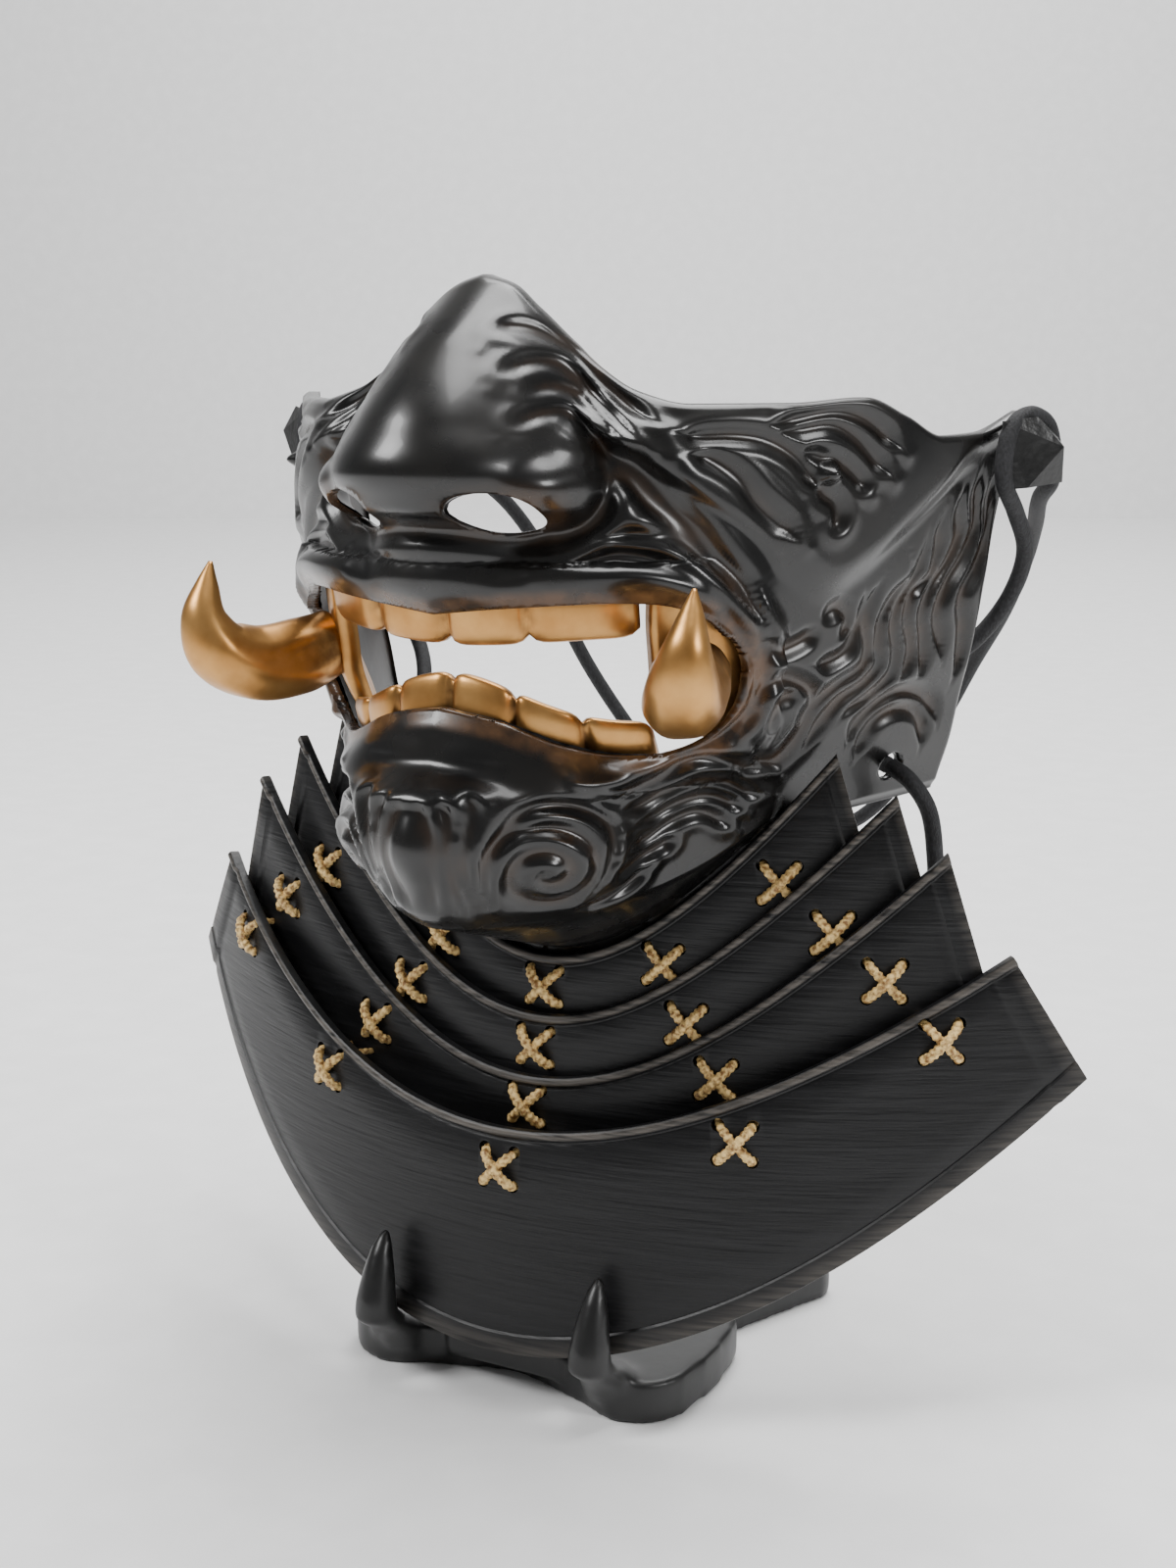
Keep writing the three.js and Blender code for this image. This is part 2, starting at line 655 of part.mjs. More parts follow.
// A cutter along Y with the outline of both halves of a half outline.
function throughY(half, fromY, toY) {
  const right = half.map(({ x, z }) => new THREE.Vector2(x, z));
  const left = half.slice(1, -1).map(({ x, z }) => new THREE.Vector2(-x, z)).reverse();
  const shape = new THREE.Shape([...right, ...left]);
  const geometry = new THREE.ExtrudeGeometry(shape, { depth: toY - fromY, bevelEnabled: false });
  return solidOf(geometry.rotateX(Math.PI / 2).translate(0, toY, 0));
}

function nostrilCutter(side) {
  const shape = new THREE.Shape();
  shape.absellipse(side * NOSTRIL.x, NOSTRIL.z, NOSTRIL.across, NOSTRIL.tall, 0, 2 * Math.PI);
  const geometry = new THREE.ExtrudeGeometry(shape, { depth: 60, bevelEnabled: false, curveSegments: 6 });
  return solidOf(geometry.rotateX(Math.PI / 2).translate(0, -30, 0));
}

function cordHoleCutter(side) {
  const share = side * CORD_HOLE.share;
  const turn = new THREE.Quaternion().setFromUnitVectors(vector(0, 1, 0), baseNormal(share, CORD_HOLE.z));
  const geometry = new THREE.CylinderGeometry(CORD_HOLE.radius, CORD_HOLE.radius, 30, 8);
  const at = basePoint(share, CORD_HOLE.z);
  return solidOf(geometry.applyQuaternion(turn).translate(at.x, at.y, at.z));
}

function faceShell() {
  const shell = solidOf(wall(shellGrid(false), shellGrid(true)));
  return cut(shell, [
    throughY(MOUTH, -100, 0),
    nostrilCutter(-1),
    nostrilCutter(1),
    cordHoleCutter(-1),
    cordHoleCutter(1),
    ...slotCutters(0),
  ]);
}

// ---------------------------------------------------------------- teeth and tusks

// A point behind the mouth's wall: x from the midline, and mm behind the wall's inner face.
function behindLip(x, z, behind) {
  const share = x / section(z).half;
  return basePoint(share, z).addScaledVector(baseNormal(share, z), -FACE_WALL - GAP - behind);
}

// A row of teeth on one gum, notched at the tooth boundaries.
function teethRow({ edges, gum, bite, deep, round }) {
  const sides = [...edges.slice(1).map((x) => -x).reverse(), ...edges];
  const end = edges.at(-1);
  const toBite = Math.sign(bite[0] - gum[0]);
  const ring = (x, notch) => {
    const out = smooth(Math.abs(x) / end);
    const base = lerp(...gum, out);
    const tip = lerp(...bite, out) - toBite * notch * 1.2;
    const front = (z, stand) => behindLip(x, z, 0.2 + notch * 0.9 - stand);
    const points = [
      front(base, 0), front(tip - toBite * round, 0), behindLip(x, tip, round * 0.7),
      behindLip(x, tip, deep), behindLip(x, base, deep),
    ];
    return toBite < 0 ? points : points.reverse();
  };
  const rings = [];
  for (let i = 0; i < sides.length - 1; i++) {
    const [from, to] = [sides[i], sides[i + 1]];
    for (const [t, notch] of [[0, 1], [0.16, 0.15], [0.5, 0], [0.84, 0.15]])
      rings.push(ring(lerp(from, to, t), notch));
  }
  rings.push(ring(end, 0.6));
  return loft(rings);
}

function circleRing(centre, first, second, radius, sides) {
  const ring = [];
  for (let i = 0; i < sides; i++) {
    const angle = (2 * Math.PI * i) / sides;
    const p = centre.clone().addScaledVector(first, radius * Math.cos(angle));
    ring.push(p.addScaledVector(second, radius * Math.sin(angle)));
  }
  return ring;
}

function tuskGeometry() {
  const SIDES = 8;
  const centres = TUSK.map(({ x, y, z }) => vector(x, y, z));
  const curve = new THREE.CatmullRomCurve3(centres);
  const steps = (TUSK.length - 1) * 2;
  const rings = [];
  for (let i = 0; i <= steps; i++) {
    const t = i / steps;
    const low = Math.floor(t * (TUSK.length - 1));
    const high = Math.min(low + 1, TUSK.length - 1);
    const radius = lerp(TUSK[low].radius, TUSK[high].radius, t * (TUSK.length - 1) - low);
    const run = curve.getTangent(t);
    const first = vector(1, 0, 0).addScaledVector(run, -run.x).normalize();
    rings.push(circleRing(curve.getPoint(t), first, run.clone().cross(first), radius, SIDES));
  }
  const horn = solidOf(loft(rings));
  return geometryOf(horn.add(solidOf(tuskRoot())));
}

// The plate that carries the tusk, against the inner face of the mouth's corner.
function tuskRoot() {
  const { from_x, to_x, top, bottom, deep } = TUSK_ROOT;
  const grid = (behind) =>
    [0, 0.2, 0.5, 0.8, 1].map((v) =>
      [0, 0.33, 0.67, 1].map((u) => {
        const inset = 3 * Math.abs(2 * v - 1) ** 3;
        return behindLip(lerp(from_x + inset * 0.3, to_x - inset, u), lerp(bottom, top, v), behind);
      }),
    );
  return wall(grid(0), grid(deep));
}

// ---------------------------------------------------------------- ear studs and head strap

// A point beside the right ear stud: out from the side panel, level to the rear, and up.
function studPoint(out, level, up) {
  const normal = baseNormal(STUD.share, STUD.z);
  const rearward = vector(0, 0, 1).cross(normal);
  return outerPoint(aroundAt(STUD.share), STUD.z)
    .addScaledVector(normal, out)
    .addScaledVector(rearward, level)
    .add(vector(0, 0, up));
}

// A wedge-shaped head on a short neck; the strap hooks round the neck.
function studGeometry() {
  const from = STUD.head_from;
  const rearward = vector(0, 0, 1).cross(baseNormal(STUD.share, STUD.z));
  const neck = [STUD.seat, from + 1].map((out) =>
    circleRing(studPoint(out, 0, 0), rearward, vector(0, 0, 1), STUD.neck, 8),
  );
  const head = new ConvexGeometry([
    studPoint(from, -9, 7), studPoint(from, 8, 5), studPoint(from, 9.5, -5), studPoint(from, -8.5, -8),
    studPoint(from + 4, -2, 8), studPoint(from + 8.5, 2, 1.5), studPoint(from + 6, 5, -6.5),
    studPoint(from + 4, -4.5, -7.5),
  ]);
  return geometryOf(solidOf(loft(neck)).add(solidOf(head)));
}

// The elastic straps. The head strap starts in the right side panel's hole, runs in behind the
// panel, up past its rear edge and round the stud's neck, hangs slack behind, and ends the same
// way on the left. The chin strap hangs from the outside of the same two holes.
const STRAP_LOW = [
  [69.5, 25.2, 144.7], [63.2, 29.5, 146.4], [64.5, 37, 154], [72, 45, 164], [82, 48, 172],
  [90.5, 46, 183], [95, 41.5, 194], [94.6, 34.5, 203],
];
const STRAP_LOOP = [[-6.6, -7], [-6.8, 0], [-4.8, 4.8], [0, 6.8], [4.8, 4.8], [6.8, 0], [6.6, -7]];
const STRAP_SLACK = [
  [95.5, 50, 205.5], [90, 66, 198], [83, 83, 188], [73, 100, 173], [61, 114, 157], [47, 121, 134],
  [27, 122, 109], [0, 122, 99], [-26, 123, 106], [-47, 121, 130], [-60, 113, 155], [-67, 105, 182],
  [-77, 92, 201], [-88, 70, 209], [-96, 51, 208],
];
const CHIN_STRAP = [
  [70.6, 24.7, 144.6], [76.4, 21.8, 142], [79.8, 24.4, 135.5], [80.6, 28, 124], [80, 31, 112],
  [77.5, 34.5, 99], [71, 38.5, 87], [60, 42.5, 77], [45, 46.5, 69.5], [24, 49.5, 65], [0, 50.5, 63.5],
];

function headStrapRoute() {
  const loop = STRAP_LOOP.map(([level, up]) => studPoint(STRAP_OUT, level, up));
  const right = [...STRAP_LOW.map((p) => vector(...p)), ...loop];
  return [...right, ...STRAP_SLACK.map((p) => vector(...p)), ...mirrored(right).reverse()];
}

function chinStrapRoute() {
  const right = CHIN_STRAP.map((p) => vector(...p));
  return [...right, ...mirrored(right).reverse().slice(1)];
}

function strapGeometry(route, steps) {
  const curve = new THREE.CatmullRomCurve3(route, false, "centripetal");
  const section = new THREE.Shape().absarc(0, 0, STRAP_RADIUS, 0, 2 * Math.PI);
  const options = { extrudePath: curve, steps, curveSegments: 4, bevelEnabled: false };
  return new THREE.ExtrudeGeometry(section, options);
}

// ---------------------------------------------------------------- stand

// A plate with two round lobes in front and two feet that run back under the lowest lame.
function standPlate() {
  const { lobe_x, lobe_y, lobe } = STAND;
  const shape = new THREE.Shape();
  shape.moveTo(-lobe_x + 8.5, lobe_y - 9.8);
  shape.bezierCurveTo(-12, -33, -8, -29.2, 0, -29.2);
  shape.bezierCurveTo(8, -29.2, 12, -33, lobe_x - 8.5, lobe_y - 9.8);
  shape.absarc(lobe_x, lobe_y, lobe, -2.28, 0);
  shape.quadraticCurveTo(46.5, -12, 43.5, 3);
  shape.lineTo(37, 14);
  shape.lineTo(50, 44);
  shape.absarc(45, 46, 5, -0.3, 2.3);
  shape.lineTo(22, 16);
  shape.quadraticCurveTo(0, 4, -22, 16);
  shape.lineTo(-41.7, 49.7);
  shape.absarc(-45, 46, 5, Math.PI - 2.3, Math.PI + 0.3);
  shape.lineTo(-37, 14);
  shape.lineTo(-43.5, 3);
  shape.quadraticCurveTo(-46.5, -12, -lobe_x - lobe, lobe_y);
  shape.absarc(-lobe_x, lobe_y, lobe, Math.PI, Math.PI + 2.28);
  const options = { depth: STAND.plate, bevelEnabled: false, curveSegments: 4 };
  return solidOf(new THREE.ExtrudeGeometry(shape, options));
}

function prong(side) {
  const rings = PRONG.map(({ y, z, radius }) =>
    circleRing(vector(side * PRONG_X, y, z), vector(1, 0, 0), vector(0, 1, 0), radius, 8),
  );
  return solidOf(loft(rings));
}

// The rest behind the lowest lame, which keeps it from falling back.
function backRest() {
  const behind = lameY(LAMES[3], 0, 34) + LAME_WALL + 1.2;
  const geometry = new THREE.BoxGeometry(30, 6, 30);
  return solidOf(geometry.translate(0, behind + 3, 19));
}

const standGeometry = () => geometryOf([prong(-1), prong(1), backRest()].reduce((all, s) => all.add(s), standPlate()));

// ---------------------------------------------------------------- assembly

const mask = new THREE.Group();
mask.add(part("face_shell", geometryOf(faceShell()), lacquer));
mask.add(part("upper_teeth", teethRow(UPPER_TEETH), gold));
mask.add(part("lower_teeth", teethRow(LOWER_TEETH), gold));
const tusk = tuskGeometry();
mask.add(part("tusk_right", tusk, gold));
mask.add(part("tusk_left", mirrorGeometry(tusk), gold));
const stud = studGeometry();
mask.add(part("ear_stud_right", stud, satin));
mask.add(part("ear_stud_left", mirrorGeometry(stud), satin));
mask.add(part("head_strap", strapGeometry(headStrapRoute(), 66), elastic));
mask.add(part("chin_strap", strapGeometry(chinStrapRoute(), 30), elastic));

const throatGuard = new THREE.Group();
LAMES.forEach((lame, k) => {
  throatGuard.add(part(`lame_${k + 1}`, geometryOf(lameSolid(k)), satin));
  crossFrames(lame).forEach((frame, i) => {
    throatGuard.add(part(`cross_${k + 1}_${i + 1}`, cross(k, frame), lacing));
  });
});

const faceGuard = new THREE.Group();
faceGuard.add(mask, throatGuard, part("stand", standGeometry(), satin));
export default faceGuard;
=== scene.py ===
import math
import bpy
import numpy as np
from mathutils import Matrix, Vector


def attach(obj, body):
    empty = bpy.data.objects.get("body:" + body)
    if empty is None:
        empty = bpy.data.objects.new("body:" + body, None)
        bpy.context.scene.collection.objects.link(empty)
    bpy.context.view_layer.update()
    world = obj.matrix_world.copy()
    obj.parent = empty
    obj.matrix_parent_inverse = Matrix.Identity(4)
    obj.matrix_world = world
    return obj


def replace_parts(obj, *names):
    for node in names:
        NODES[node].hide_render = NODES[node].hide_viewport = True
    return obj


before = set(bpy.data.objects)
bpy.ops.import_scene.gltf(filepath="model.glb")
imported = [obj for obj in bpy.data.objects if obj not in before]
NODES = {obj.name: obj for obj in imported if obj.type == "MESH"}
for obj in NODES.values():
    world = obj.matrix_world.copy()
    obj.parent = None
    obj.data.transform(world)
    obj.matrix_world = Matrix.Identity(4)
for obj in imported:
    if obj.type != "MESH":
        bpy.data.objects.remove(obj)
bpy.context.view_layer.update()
MM = 0.001  # the tables below are in millimetres, and Blender's objects are in metres

# ---------------------------------------------------------------- camera

camera_data = bpy.data.cameras.new("camera")
camera_data.sensor_width = 36
camera_data.lens = 48.375
camera_data.clip_start = 0.01
camera = bpy.data.objects.new("camera", camera_data)
bpy.context.scene.collection.objects.link(camera)
camera.location = (0.2329, -0.43, 0.2385)
TURN = math.radians(28)
DOWN = math.radians(11.6)
forward = Vector((-math.sin(TURN) * math.cos(DOWN), math.cos(TURN) * math.cos(DOWN), -math.sin(DOWN)))
camera.rotation_euler = forward.to_track_quat("-Z", "Y").to_euler()
bpy.context.scene.camera = camera

# ---------------------------------------------------------------- curves and meshes


def along(table, at):
    """Smooth monotone curve through rows of (x, y), read at the values at."""
    xs, ys = np.asarray(table, float).T
    at = np.asarray(at, float)
    slopes = np.diff(ys) / np.diff(xs)
    tangent = np.empty_like(ys)
    tangent[0] = slopes[0]
    tangent[-1] = slopes[-1]
    before, after = slopes[:-1], slopes[1:]
    total = np.where(before * after > 0, before + after, 1)
    tangent[1:-1] = np.where(before * after > 0, 2 * before * after / total, 0)
    i = np.clip(np.searchsorted(xs, at, side="right") - 1, 0, len(xs) - 2)
    wide = xs[i + 1] - xs[i]
    t = np.clip((at - xs[i]) / wide, 0, 1)
    start = (1 + 2 * t) * (1 - t) ** 2 * ys[i] + t * (1 - t) ** 2 * wide * tangent[i]
    return start + t * t * (3 - 2 * t) * ys[i + 1] + t * t * (t - 1) * wide * tangent[i + 1]


def smooth(t):
    t = np.clip(t, 0, 1)
    return t * t * (3 - 2 * t)


def bell(t):
    return np.maximum(0, 1 - t * t) ** 2


def lerp(a, b, t):
    return a + (b - a) * t


def unit(v):
    return v / np.linalg.norm(v, axis=-1, keepdims=True)


def rounded(points, steps):
    """Centripetal Catmull-Rom curve through the points, steps samples to a stretch."""
    p = np.asarray(points, float)
    p = np.vstack([2 * p[0] - p[1], p, 2 * p[-1] - p[-2]])
    out = []
    for k in range(1, len(p) - 2):
        four = p[k - 1:k + 3]
        knots = np.concatenate([[0], np.cumsum(np.linalg.norm(np.diff(four, axis=0), axis=1) ** 0.5)])
        t = np.linspace(knots[1], knots[2], steps, endpoint=False)[:, None]

        def between(start, end, first, last):
            share = (t - knots[first]) / (knots[last] - knots[first])
            return start * (1 - share) + end * share

        pairs = [between(four[j], four[j + 1], j, j + 1) for j in range(3)]
        spans = [between(pairs[j], pairs[j + 1], j, j + 2) for j in range(2)]
        out.append(between(spans[0], spans[1], 1, 2))
    out.append(p[-2][None])
    return np.vstack(out)


def mesh_object(name, points, faces, body="root", **attributes):
    mesh = bpy.data.meshes.new(name)
    mesh.from_pydata((np.asarray(points, float) * MM).tolist(), [], [list(map(int, f)) for f in faces])
    for key, values in attributes.items():
        layer = mesh.attributes.new(key, "FLOAT", "POINT")
        layer.data.foreach_set("value", np.asarray(values, np.float32).ravel())
    mesh.polygons.foreach_set("use_smooth", [True] * len(mesh.polygons))
    mesh.update()
    made = bpy.data.objects.new(name, mesh)
    bpy.context.scene.collection.objects.link(made)
    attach(made, body)
    return made


def applied(made):
    """Bakes an object's modifiers into its mesh."""
    bpy.context.view_layer.update()
    graph = bpy.context.evaluated_depsgraph_get()
    made.data = bpy.data.meshes.new_from_object(made.evaluated_get(graph))
    made.modifiers.clear()


def loft_faces(count, sides):
    """Faces of a closed loft of count rings with sides points each, ends capped."""
    faces = []
    for i in range(count - 1):
        for j in range(sides):
            k = (j + 1) % sides
            faces.append((i * sides + j, i * sides + k, (i + 1) * sides + k, (i + 1) * sides + j))
    faces.append(tuple(range(sides))[::-1])
    faces.append(tuple(range((count - 1) * sides, count * sides)))
    return faces


# ---------------------------------------------------------------- materials


def material(
    name, colour, rough, second, spot=60, bump=0.0, grain=400, stretch=(1, 1, 1), metal=0.0, coat=0.0,
    attribute=None, attribute_colour=None, rough_range=0.08, contrast=(0.4, 0.7), shine=0.5,
):
    """Procedural finish: colour varies to second over patches, and an attribute mixes in a third.

    spot and grain are the scales of the patches and of the fine bump; stretch scales both noises.
    """
    made = bpy.data.materials.new(name)
    made.use_nodes = True
    nodes, links = made.node_tree.nodes, made.node_tree.links
    shader = nodes["Principled BSDF"]
    shader.inputs["Metallic"].default_value = metal
    shader.inputs["Coat Weight"].default_value = coat
    shader.inputs["Coat Roughness"].default_value = 0.06
    place = nodes.new("ShaderNodeTexCoord")
    mapping = nodes.new("ShaderNodeMapping")
    mapping.inputs["Scale"].default_value = stretch
    links.new(place.outputs["Object"], mapping.inputs["Vector"])
    broad = nodes.new("ShaderNodeTexNoise")
    broad.inputs["Scale"].default_value = spot
    broad.inputs["Detail"].default_value = 6
    links.new(mapping.outputs["Vector"], broad.inputs["Vector"])
    fine = nodes.new("ShaderNodeTexNoise")
    fine.inputs["Scale"].default_value = grain
    fine.inputs["Detail"].default_value = 4
    links.new(mapping.outputs["Vector"], fine.inputs["Vector"])
    ramp = nodes.new("ShaderNodeValToRGB")
    ramp.color_ramp.elements[0].position = contrast[0]
    ramp.color_ramp.elements[1].position = contrast[1]
    ramp.color_ramp.elements[0].color = (*colour, 1)
    ramp.color_ramp.elements[1].color = (*second, 1)
    links.new(broad.outputs["Fac"], ramp.inputs["Fac"])
    result = ramp.outputs["Color"]
    if attribute:
        layer = nodes.new("ShaderNodeAttribute")
        layer.attribute_name = attribute
        times = nodes.new("ShaderNodeMath")
        times.operation = "MULTIPLY"
        times.use_clamp = True
        spread = nodes.new("ShaderNodeMapRange")
        spread.inputs["From Min"].default_value = 0.3
        spread.inputs["From Max"].default_value = 0.6
        links.new(fine.outputs["Fac"], spread.inputs["Value"])
        links.new(layer.outputs["Fac"], times.inputs[0])
        links.new(spread.outputs["Result"], times.inputs[1])
        mix = nodes.new("ShaderNodeMix")
        mix.data_type = "RGBA"
        links.new(times.outputs["Value"], mix.inputs["Factor"])
        links.new(result, mix.inputs["A"])
        mix.inputs["B"].default_value = (*attribute_colour, 1)
        result = mix.outputs["Result"]
    links.new(result, shader.inputs["Base Color"])
    gloss = nodes.new("ShaderNodeMapRange")
    gloss.inputs["To Min"].default_value = rough - rough_range
    gloss.inputs["To Max"].default_value = rough + rough_range
    links.new(broad.outputs["Fac"], gloss.inputs["Value"])
    links.new(gloss.outputs["Result"], shader.inputs["Roughness"])
    shader.inputs["Specular IOR Level"].default_value = shine
    if bump:
        raised = nodes.new("ShaderNodeBump")
        raised.inputs["Strength"].default_value = bump
        raised.inputs["Distance"].default_value = 0.0003
        links.new(fine.outputs["Fac"], raised.inputs["Height"])
        links.new(raised.outputs["Normal"], shader.inputs["Normal"])
    return made


# On the mask the mixed-in colour is the bronze dust in the carving and around the mouth.
LACQUER = material(
    "black_lacquer", (0.004, 0.004, 0.004), 0.27, (0.009, 0.008, 0.007), bump=0.12, grain=160, coat=0.15,
    attribute="dust", attribute_colour=(0.11, 0.055, 0.024),
)
LINING = material(
    "lining_lacquer", (0.008, 0.007, 0.007), 0.4, (0.02, 0.014, 0.012), bump=0.2, grain=200,
)
# On the teeth and horns the mixed-in colour is painted shade, in the gaps, at the gum line and at a horn's
# root.
GOLD = material(
    "satin_gold", (0.46, 0.225, 0.065), 0.34, (0.62, 0.34, 0.115), spot=90, bump=0.15, grain=300,
    metal=0.88, attribute="dust", attribute_colour=(0.16, 0.075, 0.028),
)
# The lames' vertex attribute mixes in a painted highlight along their edges.
SATIN = material(
    "scratched_black", (0.005, 0.005, 0.0055), 0.4, (0.013, 0.013, 0.014), spot=30, bump=0.55, grain=60,
    stretch=(1, 1, 18), attribute="wear", attribute_colour=(0.13, 0.115, 0.1), rough_range=0.1,
    contrast=(0.45, 0.8), shine=0.32,
)
BRAID = material(
    "gold_braid", (0.2, 0.09, 0.018), 0.5, (0.86, 0.6, 0.24), spot=900, bump=0.5, grain=2500,
    contrast=(0.35, 0.6),
)
ELASTIC = material(
    "black_elastic", (0.008, 0.008, 0.009), 0.75, (0.025, 0.025, 0.028), spot=1500, bump=0.9, grain=2500,
    stretch=(1, 1, 0.5),
)
STAND_BLACK = material(
    "stand_black", (0.006, 0.006, 0.006), 0.38, (0.012, 0.012, 0.012), bump=0.15, grain=300,
)
STUD_BLACK = material(
    "stud_black", (0.006, 0.006, 0.006), 0.34, (0.016, 0.016, 0.016), spot=250, bump=0.7, grain=500,
)

# ---------------------------------------------------------------- level sections and straps

SECTIONS = (  # height, front, half width, power of the mask's level sections
    (112, -56, 71, 1.45), (128, -60, 73.5, 1.45), (140, -61, 76.5, 1.5), (150, -60, 79.5, 1.8),
    (160, -58.3, 81.5, 2.15), (171, -58, 84, 2.4), (190, -60.5, 87, 2.4), (204, -57, 89, 2.4),
    (223, -48, 91.7, 2.4), (238, -39, 93, 2.4), (256, -28, 94.5, 2.4),
)
REAR_Y = 41
WALL = 2.6  # of the mask


def section(z):
    rows = np.array(SECTIONS, float)
    return [along(rows[:, [0, k]], z) for k in (1, 2, 3)]


def base_point(share, z):
    front, half, power = section(z)
    return np.stack([share * half, front + (REAR_Y - front) * np.abs(share) ** power, z + 0 * share], -1)


def base_normal(share, z):
    front, half, power = section(z)
    slope = power * (REAR_Y - front) * np.abs(share) ** (power - 1) / half
    return unit(np.stack([np.sign(share) * slope, -np.ones_like(slope), 0 * slope], -1))


SHARES = np.linspace(0, 1, 201)
LENGTHS = np.concatenate([[0], np.cumsum(np.hypot(86 / 200, np.diff((REAR_Y + 58) * SHARES ** 2.4)))])
HALF_AROUND = LENGTHS[-1]


def around_at(share):
    return np.sign(share) * np.interp(np.abs(share), SHARES, LENGTHS)


def share_at(around):
    return np.sign(around) * np.interp(np.abs(around), LENGTHS, SHARES)


def stud_point(out, level, up):
    share = np.array(0.985)
    z = np.array(216.5)
    n = base_normal(share, z)
    rearward = np.cross((0, 0, 1), n)
    return base_point(share, z) + n * (3.2 + out) + rearward * level + np.array((0, 0, up))


STRAP_LOW = (
    (69.5, 25.2, 144.7), (63.2, 29.5, 146.4), (64.5, 37, 154), (72, 45, 164), (82, 48, 172),
    (90.5, 46, 183), (95, 41.5, 194), (94.6, 34.5, 203),
)
STRAP_LOOP = ((-8.2, -6), (-8.3, 0), (-5.9, 5.9), (0, 8.3), (5.9, 5.9), (8.3, 0), (8.2, -6))
STRAP_SLACK = (
    (95.5, 50, 205.5), (90, 66, 198), (83, 83, 188), (73, 100, 173), (61, 114, 157), (47, 121, 134),
    (27, 122, 109), (0, 122, 99), (-26, 123, 106), (-47, 121, 130), (-60, 113, 155), (-67, 105, 182),
    (-77, 92, 201), (-88, 70, 209), (-96, 51, 208),
)
CHIN_STRAP = (
    (70.6, 24.7, 144.6), (76.4, 21.8, 142), (79.8, 24.4, 135.5), (80.6, 28, 124), (80, 31, 112),
    (77.5, 34.5, 99), (71, 38.5, 87), (60, 42.5, 77), (45, 46.5, 69.5), (24, 49.5, 65), (0, 50.5, 63.5),
)
STRAP_WIDE = 0.004


def mirrored(points):
    return [(-x, y, z) for x, y, z in points][::-1]


def strap(name, route):
    points = rounded(route, 8) * MM
    data = bpy.data.curves.new(name, "CURVE")
    data.dimensions = "3D"
    data.bevel_depth = STRAP_WIDE / 2
    data.bevel_resolution = 4
    data.use_fill_caps = True
    line = data.splines.new("POLY")
    line.points.add(len(points) - 1)
    for spot, p in zip(line.points, points):
        spot.co = (*p, 1)
    line.use_smooth = True
    made = bpy.data.objects.new(name, data)
    bpy.context.scene.collection.objects.link(made)
    data.materials.append(ELASTIC)
    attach(made, "root")
    return made


right_strap = [*STRAP_LOW, *[tuple(stud_point(5, a, b)) for a, b in STRAP_LOOP]]
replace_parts(strap("elastic_head", [*right_strap, *STRAP_SLACK, *mirrored(right_strap)]), "head_strap")
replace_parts(strap("elastic_chin", [*CHIN_STRAP, *mirrored(CHIN_STRAP)[1:]]), "chin_strap")

# ---------------------------------------------------------------- mask

MIDLINE = (  # height, y, half width of the nose, lip and chin that stand out of the sections
    (112, -57, 36), (117.5, -61, 40), (122.8, -66.8, 46), (137.1, -73.8, 50), (147.1, -71.7, 46),
    (154.7, -61.9, 32), (160, -58.4, 20), (172, -58, 14), (186, -60, 14), (195, -64.6, 16), (203, -66.2, 24),
    (207.6, -73.3, 30), (214.6, -77.7, 31), (225, -72.8, 26), (239.3, -59.6, 20), (254.6, -39.1, 14),
)
TOP_EDGE = (
    (0, 254.6), (6, 252.5), (12, 247.5), (19, 241), (27, 235), (35, 230.5), (44, 228), (60, 228), (70, 229),
    (76, 225), (81, 220.5), (86, 221), (93, 225.5),
)
BOTTOM_EDGE = ((0, 117.5), (22, 118), (34, 122.5), (42, 127), (49, 133), (52, 135.4), (62, 137), (77, 139.5))
CHEEK_FOLD = (
    (20, 230), (27, 223), (37, 215.5), (50, 206), (57, 198.5), (61, 190), (65.5, 184), (70, 188), (75, 195),
    (80, 203), (84, 210), (93, 219),
)
MOUTH = (
    (0, 185), (12, 186.5), (24, 187.5), (36, 188), (45, 187), (51, 183.5), (54.5, 178), (55.5, 171),
    (53.5, 164), (48, 157.5), (41, 154.5), (33, 155), (24, 158), (14, 162.5), (0, 165),
)


def as_around(line):
    pairs = np.array(line, float)
    return np.stack([around_at(pairs[:, 0] / section(pairs[:, 1])[1]), pairs[:, 1]], -1)


TOP = as_around(TOP_EDGE)
BOTTOM = as_around(BOTTOM_EDGE)
FOLD = as_around(CHEEK_FOLD)
LIPS = as_around(MOUTH)

# Carved lines of the right half, as (around, height): grooves, with their depth and half width.
WRINKLES = (
    ((7.5, 239), (8.5, 243.5), (12, 243), (17, 240.5), (23, 236.5), (30, 230), (37, 225.5), (46, 222)),
    ((11.5, 231), (12.5, 235.5), (16, 236.5), (20, 234), (26, 229), (33, 223.5), (40, 218.5)),
    ((16, 228), (17, 231.5), (20.5, 231), (25, 228), (30, 223.5), (36, 218.5)),
    ((15, 221.5), (17, 225.5), (20.5, 226.5), (24, 224.5), (29, 220.5), (33, 217)),
)
FURROW = ((26, 222.5), (33, 217), (40, 212), (47, 206.5), (55, 200.5), (62, 194), (68, 187.5), (73, 181))
CHEEK_LINES = (
    ((40, 223), (48, 221.5), (57, 221.5), (64, 220.5), (72, 217), (78, 212), (82, 208)),
    ((45, 218), (52, 217), (60, 213), (66, 208), (73, 203), (79, 197.5)),
    ((60, 223), (70, 224.5), (80, 226), (88, 224.5), (95, 221), (102, 216.5)),
    ((62, 221.5), (72, 222.5), (80, 223.2), (87, 220.5), (94, 215.5), (100, 211)),
    ((70, 219), (78, 217), (84, 215.5), (90, 212), (94, 208)),
    ((79, 213), (81, 209.5), (85, 207), (86.5, 203.5), (85, 201)),
)
